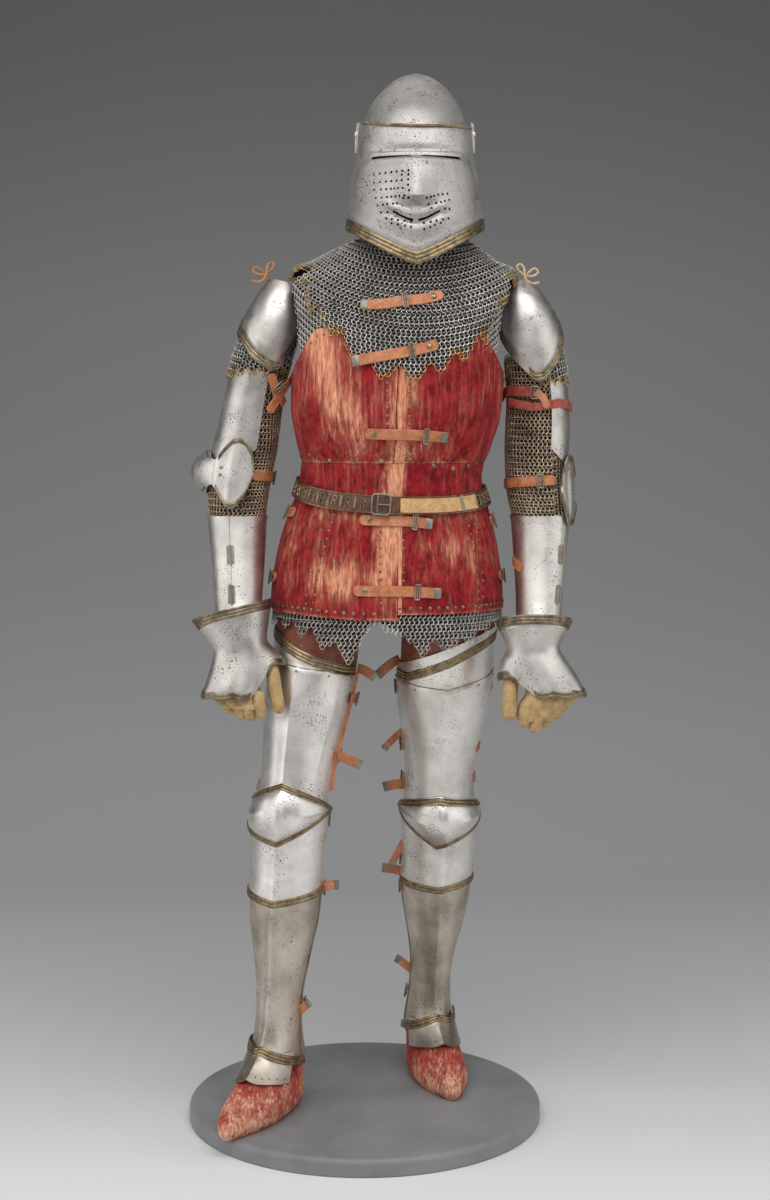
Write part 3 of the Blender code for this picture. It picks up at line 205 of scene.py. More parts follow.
GLOVE_RIGHT = [
    (0.666, -0.183, -0.078, 0.01, 0.008, 0.008, 0.0, 0),
    (0.674, -0.187, -0.076, 0.029, 0.018, 0.02, 0.0, 0),
    (0.687, -0.196, -0.074, 0.04, 0.026, 0.028, 0.0, 0),
    (0.702, -0.208, -0.069, 0.043, 0.027, 0.032, 0.0, 0),
    (0.72, -0.214, -0.065, 0.041, 0.027, 0.031, 0.0, 0),
    (0.745, -0.209, -0.059, 0.041, 0.029, 0.029, 0.0, 0),
    (0.775, -0.2055, -0.051, 0.039, 0.03, 0.029, 0.0, 0),
]
GLOVE_LEFT = [
    (0.646, 0.268, -0.08, 0.008, 0.008, 0.008, 0.0, 0),
    (0.653, 0.272, -0.079, 0.02, 0.016, 0.018, 0.0, 0),
    (0.668, 0.282, -0.077, 0.033, 0.024, 0.026, 0.0, 0),
    (0.688, 0.296, -0.074, 0.043, 0.028, 0.031, 0.0, 0),
    (0.71, 0.31, -0.071, 0.0434, 0.0299, 0.0322, 0.0, 0),
    (0.74, 0.301, -0.065, 0.0444, 0.0309, 0.0307, 0.0, 0),
    (0.775, 0.2815, -0.057, 0.039, 0.03, 0.029, 0.0, 0),
]
SKULL = [
    (1.45, 0.084, 0.042, 0.0835, 0.092, 0.098, 0.0, 0),
    (1.5, 0.084, 0.043, 0.085, 0.098, 0.106, 0.0, 0),
    (1.56, 0.084, 0.044, 0.087, 0.103, 0.112, 0.0, 0),
    (1.61, 0.084, 0.045, 0.087, 0.104, 0.11, 0.001, 0),
    (1.64, 0.084, 0.047, 0.0845, 0.1, 0.101, 0.002, 0),
    (1.665, 0.084, 0.051, 0.078, 0.089, 0.088, 0.003, 0),
    (1.685, 0.084, 0.056, 0.068, 0.074, 0.074, 0.003, 0),
    (1.703, 0.085, 0.062, 0.054, 0.056, 0.057, 0.003, 0),
    (1.717, 0.085, 0.067, 0.037, 0.036, 0.038, 0.002, 0),
    (1.7235, 0.086, 0.07, 0.022, 0.021, 0.022, 0.001, 0),
    (1.7262, 0.086, 0.071, 0.01, 0.01, 0.01, 0.0, 0),
    (1.727, 0.086, 0.071, 0.004, 0.004, 0.004, 0.0, 0),
]
VISOR = [
    (1.4, 0.086, 0.03, 0.113, 0.112, 0.112, 0.004, 0),
    (1.44, 0.085, 0.03, 0.113, 0.12, 0.112, 0.006, 0),
    (1.475, 0.084, 0.03, 0.112, 0.125, 0.112, 0.006, 0),
    (1.51, 0.084, 0.03, 0.108, 0.124, 0.108, 0.005, 0),
    (1.545, 0.084, 0.03, 0.1045, 0.122, 0.105, 0.008, 0),
    (1.566, 0.084, 0.03, 0.1, 0.119, 0.102, 0.01, 0),
    (1.574, 0.084, 0.03, 0.0975, 0.116, 0.1, 0.008, 0),
    (1.582, 0.084, 0.03, 0.096, 0.106, 0.098, 0.003, 0),
    (1.605, 0.084, 0.03, 0.0935, 0.101, 0.096, 0.002, 0),
    (1.64, 0.084, 0.03, 0.0915, 0.095, 0.095, 0.002, 0),
    (1.67, 0.084, 0.03, 0.091, 0.09, 0.093, 0.002, 0),
]
CAPE_HEM = [(-180, 1.236), (-150, 1.25), (-120, 1.29), (-90, 1.322), (-67, 1.32), (-59, 1.305),
            (-47, 1.29), (-38, 1.278), (-27, 1.262), (-8, 1.222), (8, 1.218), (27, 1.238), (38, 1.247),
            (49, 1.261), (55, 1.277), (71, 1.297), (90, 1.304), (120, 1.28), (150, 1.25), (180, 1.236)]
SKIRT_HEM = [(-180, 0.812), (-90, 0.835), (-60, 0.836), (-38, 0.82), (-23, 0.8), (-12, 0.8),
             (-3.5, 0.834), (4, 0.812), (20, 0.801), (35, 0.806), (46, 0.818), (60, 0.829), (90, 0.833),
             (180, 0.812)]
SKIRT_NOTCH = -9.0
ARM_PLACES = {
    "right": {"upper_start": -22.5, "cap_start": -67.5, "cap_hem": 1.238, "hinge_line": 12,
              "elbow_turn": 0, "elbow_centre": 1.07, "elbow_lift": 0.0, "elbow_strap": 1.06,
              "forearm_out": 0.0019, "forearm_top": 0.998, "armpit": 0.008,
              "shoulder_edge": [(-68, 1.312), (-22, 1.256), (-8, 1.24), (20, 1.262), (45, 1.285),
                                (70, 1.307), (100, 1.32), (158, 1.322)]},
    "left": {"upper_start": 22.5, "cap_start": 0, "cap_hem": 1.222, "hinge_line": 45,
             "elbow_turn": 57, "elbow_centre": 1.04, "elbow_lift": 0.0006, "elbow_strap": 1.052,
             "forearm_out": 0.0016, "forearm_top": 1.0045, "armpit": 0.0055,
             "shoulder_edge": [(-68, 1.3), (-37, 1.26), (-3, 1.224), (10, 1.226), (46, 1.262),
                               (80, 1.3), (110, 1.318), (158, 1.322)]},
}
LEG_PLACES = {
    "right": {"hip_flare": 0.0102, "inner_flare": 0.024,
              "knee_high": [(-90, 0.512), (0, 0.56), (60, 0.534), (90, 0.526)],
              "knee_low": [(-90, 0.499), (-67, 0.494), (0, 0.453), (60, 0.467), (90, 0.48)],
              "lame_high": [(-90, 0.506), (-67, 0.502), (0, 0.48), (90, 0.492)],
              "lame_low": [(-90, 0.363), (0, 0.349), (90, 0.36)]},
    "left": {"hip_flare": 0.0065, "inner_flare": 0.0,
             "knee_high": [(-90, 0.499), (-4, 0.518), (90, 0.497)],
             "knee_low": [(-90, 0.481), (-75, 0.473), (-9, 0.423), (55, 0.452), (90, 0.468)],
             "lame_high": [(-90, 0.49), (-75, 0.484), (-9, 0.452), (90, 0.482)],
             "lame_low": [(-90, 0.346), (-9, 0.34), (90, 0.35)]},
}
HAND_PLACES = {
    "right": {"rim": 0.8455, "rim_tilt": (0.006, -0.0175), "guard": 0.757, "knuckle": 0.705,
              "glove": (0.6665, 0.774), "thumb_root": (-0.1526, -0.062, 0.752),
              "thumb_tip": (-0.1391, -0.088, 0.678), "thumb_radius": 0.0115},
    "left": {"rim": 0.827, "rim_tilt": (0.0165, 0.0), "guard": 0.745, "knuckle": 0.708,
             "glove": (0.6465, 0.774), "thumb_root": (0.2429, -0.062, 0.738),
             "thumb_tip": (0.2379, -0.094, 0.667), "thumb_radius": 0.013},
}

def blend(x, low, high):
    t = np.clip((x - low) / (high - low), 0.0, 1.0)
    return t * t * (3 - 2 * t)


def curve(pairs):
    where, value = zip(*sorted(pairs))
    return lambda x: np.interp(x, where, value)


def level(height):
    return lambda degrees: height + 0.0 * np.asarray(degrees, float)


def wrap(degrees):
    return (np.asarray(degrees, float) + 180) % 360 - 180


def unit(v):
    return v / np.maximum(np.linalg.norm(v, axis=-1, keepdims=True), 1e-12)


def hump(x, centre, spread):
    return np.exp(-((x - centre) / spread) ** 2)


class Form:
    """A smooth surface through the sections of a table, read for whole arrays of angles and heights."""

    def __init__(self, columns, rows, roundness, mirrored=False):
        self.names = columns.split()
        self.values = np.array(rows, float)
        self.keys = self.values[:, 0]
        self.slopes = np.gradient(self.values, self.keys, axis=0)
        self.power = 2.0 / roundness
        self.mirror = -1.0 if mirrored else 1.0

    def read(self, height):
        keys = self.keys
        k = np.clip(np.searchsorted(keys, height) - 1, 0, len(keys) - 2)
        step = keys[k + 1] - keys[k]
        t = np.clip((height - keys[k]) / step, 0, 1)
        a = 2 * t**3 - 3 * t**2 + 1
        b = t**3 - 2 * t**2 + t
        c = -2 * t**3 + 3 * t**2
        d = t**3 - t**2
        step = step[..., None]
        rows = (a[..., None] * self.values[k] + c[..., None] * self.values[k + 1]
                + step * (b[..., None] * self.slopes[k] + d[..., None] * self.slopes[k + 1]))
        return {name: rows[..., i] for i, name in enumerate(self.names)}

    def on(self, degrees, height):
        degrees, height = np.broadcast_arrays(np.asarray(degrees, float), np.asarray(height, float))
        row = self.read(height)
        s, c = np.sin(np.radians(degrees)), np.cos(np.radians(degrees))
        across = row["side"] * np.sign(s) * np.abs(s) ** self.power * self.mirror
        ahead = np.where(c > 0, row["front"], row["back"]) * np.sign(c) * np.abs(c) ** self.power
        facing = 0.0 * degrees
        if "keel" in row:
            ahead = ahead + row["keel"] * np.maximum(0.0, 1.0 - np.abs(wrap(degrees)) / KEEL_SPREAD)
            facing = np.radians(row["facing"])
        x = row["x"] + across * np.cos(facing) + ahead * np.sin(facing)
        y = row["y"] + across * np.sin(facing) - ahead * np.cos(facing)
        z = BASE_TOP + row["height"]
        if "side_rise" in row:
            z = z + row["side_rise"] * s * s + np.where(c < 0, row["back_rise"] * c * c, 0.0)
        return np.stack([x, y, z], axis=-1)

    def normal(self, degrees, height):
        across = self.on(degrees + 1.15, height) - self.on(degrees - 1.15, height)
        up = self.on(degrees, height + 0.002) - self.on(degrees, height - 0.002)
        return unit(np.cross(across, up)) * self.mirror

    def point(self, degrees, height, out=0.0):
        degrees, height = np.broadcast_arrays(np.asarray(degrees, float), np.asarray(height, float))
        return self.on(degrees, height) + self.normal(degrees, height) * np.asarray(out)[..., None]


trunk = Form(TRUNK_COLUMNS, TRUNK, 2.25)
skull = Form(LIMB_COLUMNS, SKULL, 2.0)
visor = Form(LIMB_COLUMNS, VISOR, 2.25)
SIDES = ("right", "left")
arm = {"right": Form(LIMB_COLUMNS, ARM_RIGHT, 2.0, True), "left": Form(LIMB_COLUMNS, ARM_LEFT, 2.0)}
hand = {"right": Form(LIMB_COLUMNS, HAND_RIGHT, 2.25, True), "left": Form(LIMB_COLUMNS, HAND_LEFT, 2.25)}
glove = {"right": Form(LIMB_COLUMNS, GLOVE_RIGHT, 2.25, True), "left": Form(LIMB_COLUMNS, GLOVE_LEFT, 2.25)}
leg = {"right": Form(LIMB_COLUMNS, LEG_RIGHT, 2.0, True), "left": Form(LIMB_COLUMNS, LEG_LEFT, 2.0)}
foot = {"right": Form(LIMB_COLUMNS, FOOT_RIGHT, 2.0, True), "left": Form(LIMB_COLUMNS, FOOT_LEFT, 2.0)}


class Batch:
    """Small shapes collected into one mesh."""

    def __init__(self):
        self.verts = []
        self.faces = []
        self.count = 0

    def add(self, verts, faces):
        verts = np.asarray(verts, float).reshape(-1, 3)
        start = self.count
        self.verts.append(verts)
        self.faces += [[int(i) + start for i in face] for face in faces]
        self.count += len(verts)

    def wall(self, outer, inner, around=False, flip=False, holes=None):
        self.add(*wall(outer, inner, around, flip, holes))

    def tube(self, points, radius, segments=8, closed=False):
        """A round wire along points."""
        points = np.asarray(points, float)
        after = np.roll(points, -1, axis=0)
        before = np.roll(points, 1, axis=0)
        if not closed:
            after[-1] = points[-1] + (points[-1] - points[-2])
            before[0] = points[0] - (points[1] - points[0])
        along = unit(after - before)
        side = np.zeros_like(points)
        axis = np.eye(3)[np.argmin(np.abs(along[0]))]
        side[0] = unit(np.cross(along[0], axis))
        for n in range(1, len(points)):
            step = side[n - 1] - along[n] * np.dot(side[n - 1], along[n])
            side[n] = unit(step)
        other = np.cross(along, side)
        turn = np.linspace(0, 2 * np.pi, segments, endpoint=False)
        radius = np.broadcast_to(np.asarray(radius, float), (len(points),))
        ring = (side[:, None] * np.cos(turn)[None, :, None] + other[:, None] * np.sin(turn)[None, :, None])
        verts = points[:, None] + ring * radius[:, None, None]
        n, m = len(points), segments
        faces = []
        for a in range(n if closed else n - 1):
            b = (a + 1) % n
            for i in range(m):
                k = (i + 1) % m
                faces.append((a * m + i, a * m + k, b * m + k, b * m + i))
        if not closed:
            faces.append(tuple(range(m))[::-1])
            faces.append(tuple((n - 1) * m + i for i in range(m)))
        self.add(verts, faces)

    def dome(self, centre, normal, radius, height, segments=10):
        """A round rivet head, its rim let into what it sits on."""
        normal = unit(np.asarray(normal, float))
        axis = np.eye(3)[np.argmin(np.abs(normal))]
        u = unit(np.cross(normal, axis))
        v = np.cross(normal, u)
        turn = np.linspace(0, 2 * np.pi, segments, endpoint=False)
        circle = u * np.cos(turn)[:, None] + v * np.sin(turn)[:, None]
        verts = [centre + circle * radius - normal * 0.0006,
                 centre + circle * radius + normal * height * 0.25,
                 centre + circle * radius * 0.72 + normal * height * 0.78,
                 centre + circle * radius * 0.3 + normal * height]
        m = segments
        faces = [(r * m + i, r * m + (i + 1) % m, (r + 1) * m + (i + 1) % m, (r + 1) * m + i)
                 for r in range(3) for i in range(m)]
        faces.append(tuple(3 * m + i for i in range(m)))
        faces.append(tuple(range(m))[::-1])
        self.add(np.concatenate(verts), faces)

    def ribbon(self, points, normals, halves, thick, rounded=(False, False)):
        """A flat strap along points, facing along normals, with square or rounded ends."""
        points = np.asarray(points, float)
        normals = unit(np.asarray(normals, float))
        along = unit(np.gradient(points, axis=0))
        across = unit(np.cross(normals, along))
        length = np.concatenate([[0], np.cumsum(np.linalg.norm(np.diff(points, axis=0), axis=1))])
        half = np.broadcast_to(np.asarray(halves, float), length.shape).copy()
        for end, distance in ((0, length), (1, length[-1] - length)):
            if rounded[end]:
                inset = np.clip((distance + 0.0006) / half, 0.0, 1.0)
                half = half * np.sqrt(1 - (1 - inset) ** 2)
        edge = thick * 0.3
        top = normals * thick
        rows = [points - across * half[:, None], points - across * half[:, None] + normals * (thick - edge),
                points - across * (half - edge)[:, None] + top,
                points + across * (half - edge)[:, None] + top,
                points + across * half[:, None] + normals * (thick - edge), points + across * half[:, None]]
        verts = np.stack(rows, axis=1)
        n, m = len(points), len(rows)
        faces = [(a * m + i, (a + 1) * m + i, (a + 1) * m + (i + 1) % m, a * m + (i + 1) % m)
                 for a in range(n - 1) for i in range(m)]
        faces.append(tuple(range(m)))
        faces.append(tuple((n - 1) * m + i for i in range(m))[::-1])
        self.add(verts, faces)

    def box(self, centre, across, up, normal, sizes):
        """A block of three sizes with its edges broken."""
        w, h, t = [s / 2 for s in sizes]
        c = min(w, h) * 0.16
        corners = [(-w, -h + c), (-w + c, -h), (w - c, -h), (w, -h + c), (w, h - c), (w - c, h), (-w + c, h),
                   (-w, h - c)]
        verts = []
        for depth, shrink in ((-t, 1.0), (t - c * 0.6, 1.0), (t, 0.9)):
            verts += [centre + across * (x * shrink) + up * (y * shrink) + normal * depth for x, y in corners]
        faces = [(r * 8 + i, r * 8 + (i + 1) % 8, (r + 1) * 8 + (i + 1) % 8, (r + 1) * 8 + i)
                 for r in range(2) for i in range(8)]
        faces += [tuple(range(8))[::-1], tuple(16 + i for i in range(8))]
        self.add(verts, faces)

    def frame(self, centre, across, up, width, height, wire):
        """A buckle's rectangle of wire with rounded corners."""
        w, h, r = width / 2, height / 2, min(width, height) * 0.18
        points = []
        for sx, sy, start in ((1, 1, 0), (-1, 1, 90), (-1, -1, 180), (1, -1, 270)):
            for step in (0, 30, 60, 90):
                turn = math.radians(start + step)
                points.append(centre + across * (sx * (w - r) + r * math.cos(turn))
                              + up * (sy * (h - r) + r * math.sin(turn)))
        self.tube(points, wire, 8, closed=True)


def wall(outer, inner, around=False, flip=False, holes=None):
    """Points and faces of a closed wall between two grids. holes marks the cells left open."""
    rows, columns = outer.shape[:2]
    n = rows * columns
    index = np.arange(n).reshape(rows, columns)
    i = np.arange(columns if around else columns - 1)
    k = (i + 1) % columns
    a, b, c, d = index[:-1][:, i], index[:-1][:, k], index[1:][:, k], index[1:][:, i]
    solid = np.ones(a.shape, bool) if holes is None else ~holes
    wide = np.pad(solid, 1)
    if around:
        wide[:, 0] = wide[:, -2]
        wide[:, -1] = wide[:, 1]
    parts = [np.stack([a, b, c, d], -1)[solid], np.stack([b, a, d, c], -1)[solid] + n]
    for neighbour, (p, q) in ((wide[1:-1, :-2], (a, d)), (wide[1:-1, 2:], (c, b)), (wide[:-2, 1:-1], (b, a)),
                              (wide[2:, 1:-1], (d, c))):
        edge = solid & ~neighbour
        parts.append(np.stack([p, q, q + n, p + n], -1)[edge])
    quads = np.concatenate(parts)
    if flip:
        quads = quads[:, ::-1]
    return np.concatenate([outer.reshape(-1, 3), inner.reshape(-1, 3)]), quads


def make(name, verts, faces, material, body="rest", slot=None, replaces=(), sharp=35.0):
    """A piece of the model from points and faces, riding on a body."""
    verts = np.asarray(verts, float).reshape(-1, 3)
    mesh = bpy.data.meshes.new(name)
    if isinstance(faces, np.ndarray):
        mesh.vertices.add(len(verts))
        mesh.vertices.foreach_set("co", verts.astype(np.float32).ravel())
        mesh.loops.add(faces.size)
        mesh.loops.foreach_set("vertex_index", faces.astype(np.int32).ravel())
        mesh.polygons.add(len(faces))
        starts = np.arange(len(faces), dtype=np.int32) * faces.shape[1]
        mesh.polygons.foreach_set("loop_start", starts)
        mesh.update(calc_edges=True)
    else:
        mesh.from_pydata(verts.tolist(), [], faces)
    mesh.validate()
    mesh.shade_smooth()
    if sharp < 180:
        mesh.set_sharp_from_angle(angle=math.radians(sharp))
    mesh.materials.append(material)
    obj = bpy.data.objects.new(name, mesh)
    bpy.context.scene.collection.objects.link(obj)
    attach(obj, body)
    if replaces:
        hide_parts(*replaces)
    return obj


def finish_batch(name, batch, material, **piece):
    return make(name, np.concatenate(batch.verts), batch.faces, material, **piece)


def sampled(form, degrees, low, high, out, thick, rows, relief=None):
    """Outer and inner grids of a wall on a form between two edges."""
    degrees = np.asarray(degrees, float)[None, :]
    v = np.linspace(0, 1, rows + 1)[:, None]
    low, high = low(degrees), high(degrees)
    height = low + (high - low) * v
    degrees = np.broadcast_to(degrees, height.shape)
    swell = relief(degrees, height, v) if relief else 0.0
    return form.point(degrees, height, out + thick + swell), form.point(degrees, height, out + swell)


# How much of each panel's own columns and rows it is built with.
FINENESS = 0.5


def panel(name, form, angles, low, high, out, thick, columns, rows, material, relief=None, **piece):
    """A wall on a form between two angles and two edges."""
    around = abs(angles[1] - angles[0]) >= 360
    columns, rows = max(4, round(columns * FINENESS)), max(2, round(rows * FINENESS))
    degrees = np.linspace(angles[0], angles[1], columns + 1)
    if around:
        degrees = degrees[:-1]
    outer, inner = sampled(form, degrees, low, high, out, thick, rows, relief)
    verts, quads = wall(outer, inner, around, form.mirror < 0)
    return make(name, verts, quads, material, **piece)


def ribbed(batch, form, degrees, centre, half, out, ridges=2, ridge=0.0011, base=0.001, relief=None):
    """A border along a form with rounded ribs along it, brass on most pieces and red leather on the helmet's
    mail band.
    """
    degrees = np.asarray(degrees, float)
    degrees = np.linspace(degrees[0], degrees[-1], max(12, round(len(degrees) * 0.66)))[None, :]
    across = np.linspace(-1, 1, 4 * ridges + 1)[:, None]
    height = centre(degrees) + half * across
    degrees = np.broadcast_to(degrees, height.shape)
    lift = base + ridge * np.abs(np.sin(np.pi * ridges * (across + 1) / 2)) + 0.0 * height
    swell = relief(degrees, height, None) if relief else 0.0
    batch.wall(form.point(degrees, height, out + swell + lift), form.point(degrees, height, out + swell),
               flip=form.mirror < 0)


def place(form, degrees, height, out=0.0):
    """A point of a form with the directions across, up and out there."""
    centre = form.point(degrees, height, out)
    normal = form.normal(degrees, height)
    up = unit(form.on(degrees, height + 0.002) - form.on(degrees, height - 0.002))
    across = np.cross(up, normal)
    return centre, unit(across), up, normal


def rivet(batch, form, degrees, height, out, radius=0.0025, rise=0.0014, segments=10):
    centre, across, up, normal = place(form, float(degrees), float(height), out)
    batch.dome(centre, normal, radius, rise, segments)


def along_form(form, stations, count, out):
    """Points and normals along a path of (angle, height) stations on a form."""
    stations = np.array(stations, float)
    key = np.linspace(0, 1, len(stations))
    u = np.linspace(0, 1, count)
    degrees = np.interp(u, key, stations[:, 0])
    height = np.interp(u, key, stations[:, 1])
    return form.point(degrees, height, out), form.normal(degrees, height)


# Materials
def new_material(name):
    material = bpy.data.materials.new(name)
    material.use_nodes = True
    tree = material.node_tree
    return material, tree, tree.nodes["Principled BSDF"]


def add_node(tree, kind, inputs=None, **settings):
    node = tree.nodes.new(kind)
    for key, value in settings.items():
        setattr(node, key, value)
    for key, value in (inputs or {}).items():
        if isinstance(value, bpy.types.NodeSocket):
            tree.links.new(value, node.inputs[key])
        else:
            node.inputs[key].default_value = value
    return node


def position(tree, scale=(1, 1, 1)):
    where = add_node(tree, "ShaderNodeTexCoord")
    return add_node(tree, "ShaderNodeMapping", {"Vector": where.outputs["Object"], "Scale": scale}).outputs[0]


def noise(tree, vector, scale, detail=4.0, roughness=0.55):
    return add_node(tree, "ShaderNodeTexNoise", {"Vector": vector, "Scale": scale, "Detail": detail,
                                                 "Roughness": roughness}).outputs["Fac"]


def ramp(tree, value, stops):
    node = add_node(tree, "ShaderNodeValToRGB", {"Fac": value})
    elements = node.color_ramp.elements
    while len(elements) < len(stops):
        elements.new(0.5)
    for element, (at, rgb) in zip(elements, stops):
        element.position = at
        element.color = (*rgb, 1.0) if not isinstance(rgb, float) else (rgb, rgb, rgb, 1.0)
    return node.outputs["Color"]


def mix(tree, factor, first, second, blend_type="MIX"):
    node = tree.nodes.new("ShaderNodeMix")
    node.data_type = "RGBA"
    node.blend_type = blend_type
    for key, value in ((0, factor), (6, first), (7, second)):
        if isinstance(value, bpy.types.NodeSocket):
            tree.links.new(value, node.inputs[key])
        else:
            node.inputs[key].default_value = value if key == 0 else (*value, 1.0)
    return node.outputs[2]


def bump(tree, shader, height, strength, distance, normal=None):
    inputs = {"Height": height, "Strength": strength, "Distance": distance}
    if normal:
        inputs["Normal"] = normal
    node = add_node(tree, "ShaderNodeBump", inputs)
    tree.links.new(node.outputs["Normal"], shader.inputs["Normal"])
    return node.outputs["Normal"]


def steel_material(name, light, dark, pits, rough, size=1.0):
    """Old polished plate: clouded, with fine dark pits that come in drifts."""
    material, tree, shader = new_material(name)
    where = position(tree)
    cloud = ramp(tree, noise(tree, where, 13 * size, 6, 0.6), [(0.32, dark), (0.6, light)])
    specks = noise(tree, where, 380 * size, 2, 0.5)
    groups = noise(tree, where, 24 * size, 4, 0.6)
    half = add_node(tree, "ShaderNodeMath", {0: groups, 1: 0.34}, operation="MULTIPLY").outputs[0]
    spots = add_node(tree, "ShaderNodeMath", {0: specks, 1: 0.66, 2: half},
                     operation="MULTIPLY_ADD").outputs[0]
    pitted = ramp(tree, spots, [(pits + 0.005, 0.0), (pits + 0.045, 0.85)])
    colour = mix(tree, pitted, cloud, (0.06, 0.05, 0.042))
    tree.links.new(colour, shader.inputs["Base Color"])
    shader.inputs["Metallic"].default_value = 1.0
    worn = ramp(tree, noise(tree, where, 55 * size, 5, 0.6), [(0.3, rough), (0.75, rough + 0.14)])
    tree.links.new(worn, shader.inputs["Roughness"])
    hammer = noise(tree, where, 20, 2, 0.4)
    first = bump(tree, shader, hammer, 0.3, 0.002)
    fine = noise(tree, where, 900, 2, 0.5)
    second = bump(tree, shader, fine, 0.12, 0.0002, first)
    bump(tree, shader, pitted, 0.35, -0.0004, second)
    return material


def brass_material(name, light, dark, rough=0.38):
    material, tree, shader = new_material(name)
    where = position(tree)
    colour = ramp(tree, noise(tree, where, 90, 6, 0.65), [(0.36, dark), (0.6, light)])
    tree.links.new(colour, shader.inputs["Base Color"])
    shader.inputs["Metallic"].default_value = 0.9
    shader.inputs["Roughness"].default_value = rough
    bump(tree, shader, noise(tree, where, 300, 3, 0.6), 0.25, 0.0004)
    return material


def leather_material(name, base, worn, rough=0.55, metallic=0.0):
    material, tree, shader = new_material(name)
    where = position(tree)
    colour = ramp(tree, noise(tree, where, 70, 6, 0.6), [(0.34, base), (0.7, worn)])
    fine = ramp(tree, noise(tree, where, 420, 3, 0.6), [(0.35, 0.55), (0.6, 1.0)])
    tree.links.new(mix(tree, 0.6, colour, fine, "MULTIPLY"), shader.inputs["Base Color"])
    shader.inputs["Roughness"].default_value = rough
    shader.inputs["Metallic"].default_value = metallic
    bump(tree, shader, noise(tree, where, 520, 4, 0.6), 0.35, 0.0006)
    return material


def velvet_material(name, pile, deep, thread, pale, worn_from, streaks=(170, 170, 16)):
    """Red pile over tan threads: the attribute wear says how much of the pile has gone."""
    material, tree, shader = new_material(name)
    wear = add_node(tree, "ShaderNodeAttribute", attribute_name="wear").outputs["Fac"]
    fine = noise(tree, position(tree, streaks), 1.0, 5, 0.68)
    broad = noise(tree, position(tree, tuple(s * 0.22 for s in streaks)), 1.0, 4, 0.6)
    patch = noise(tree, position(tree), 19, 4, 0.6)
    total = add_node(tree, "ShaderNodeMath", {0: fine, 1: 0.45}, operation="MULTIPLY").outputs[0]
    for other, weight in ((broad, 0.33), (patch, 0.22), (wear, 0.6)):
        total = add_node(tree, "ShaderNodeMath", {0: other, 1: weight, 2: total},
                         operation="MULTIPLY_ADD").outputs[0]
    share = ramp(tree, total, [(worn_from - 0.09, 0.0), (worn_from, 0.2), (worn_from + 0.11, 1.0)])
    red = ramp(tree, noise(tree, position(tree), 55, 5, 0.65), [(0.4, deep), (0.6, pile)])
    tan = ramp(tree, noise(tree, position(tree, (300, 300, 60)), 1.0, 3, 0.6), [(0.35, thread), (0.65, pale)])
    tree.links.new(mix(tree, share, red, tan), shader.inputs["Base Color"])
    shader.inputs["Roughness"].default_value = 0.88
    shader.inputs["Specular IOR Level"].default_value = 0.2
    shader.inputs["Sheen Weight"].default_value = 0.25
    shader.inputs["Sheen Roughness"].default_value = 0.45
    shader.inputs["Sheen Tint"].default_value = (0.9, 0.25, 0.22, 1.0)
    weave = noise(tree, position(tree, (900, 900, 500)), 1.0, 2, 0.5)
    first = bump(tree, shader, weave, 0.3, 0.0007)
    bump(tree, shader, total, 0.35, -0.0012, first)
    return material


STEEL = steel_material("steel", (0.72, 0.685, 0.645), (0.46, 0.43, 0.4), 0.588, 0.38)
HELMET_STEEL = steel_material("helmet_steel", (0.58, 0.555, 0.53), (0.41, 0.39, 0.37), 0.575, 0.5)
THIGH_STEEL = steel_material("thigh_steel", (0.9, 0.865, 0.82), (0.64, 0.61, 0.57), 0.6, 0.36)
GREAVE_STEEL = steel_material("greave_steel", (0.7, 0.63, 0.55), (0.4, 0.34, 0.27), 0.6, 0.38)
BUCKLE_STEEL = steel_material("buckle_steel", (0.34, 0.31, 0.25), (0.17, 0.15, 0.12), 0.62, 0.45, 2.0)
RING_STEEL = steel_material("ring_steel", (0.74, 0.7, 0.66), (0.46, 0.43, 0.39), 0.66, 0.3, 2.0)
RING_DARK = steel_material("sleeve_ring_steel", (0.78, 0.63, 0.46), (0.4, 0.29, 0.19), 0.66, 0.36, 2.0)
RING_BRASS = brass_material("ring_brass", (0.7, 0.5, 0.2), (0.38, 0.26, 0.1))
BRASS = brass_material("brass", (0.4, 0.3, 0.17), (0.15, 0.11, 0.07))
BRASS_DARK = brass_material("brass_dark", (0.3, 0.24, 0.16), (0.11, 0.09, 0.06), 0.45)
STRAP = leather_material("strap_leather", (0.45, 0.13, 0.05), (0.66, 0.28, 0.13))
STRAP_RED = leather_material("strap_red", (0.3, 0.03, 0.02), (0.48, 0.13, 0.08))
RED_LEATHER = leather_material("red_leather", (0.17, 0.04, 0.018), (0.34, 0.11, 0.055), 0.5)
TAN_LEATHER = leather_material("tan_leather", (0.55, 0.3, 0.11), (0.74, 0.48, 0.22), 0.5)
BELT_LEATHER = leather_material("belt_leather", (0.06, 0.022, 0.012), (0.2, 0.085, 0.042), 0.55)
BUFF = leather_material("buff_leather", (0.42, 0.26, 0.11), (0.62, 0.43, 0.2), 0.7)
LACE = leather_material("lace", (0.42, 0.15, 0.05), (0.62, 0.3, 0.13), 0.6)
LACE_PALE = leather_material("lace_pale", (0.6, 0.42, 0.24), (0.74, 0.58, 0.36), 0.6)
VELVET = velvet_material("velvet", (0.31, 0.014, 0.019), (0.15, 0.005, 0.009), (0.56, 0.17, 0.09),
                         (0.8, 0.42, 0.25), 0.59)
SHOE_VELVET = velvet_material("shoe_velvet", (0.4, 0.03, 0.028), (0.22, 0.012, 0.014), (0.56, 0.2, 0.12),
                              (0.86, 0.56, 0.38), 0.52, (260, 70, 120))
# Near black behind the mail's rings: painted shade, standing in for the cloth there.
MAIL_BACKING_SHADE = leather_material("mail_backing_shade", (0.008, 0.007, 0.006), (0.016, 0.013, 0.011), 0.85)
# Near black for the hollows seen through the helmet's holes: painted shade.
HOLE_SHADE = leather_material("inside_shade", (0.006, 0.0055, 0.005), (0.01, 0.009, 0.008), 0.9)


# Mail
WIRE = 0.00078
RING_SIDES = 3
RING_STEPS = 6


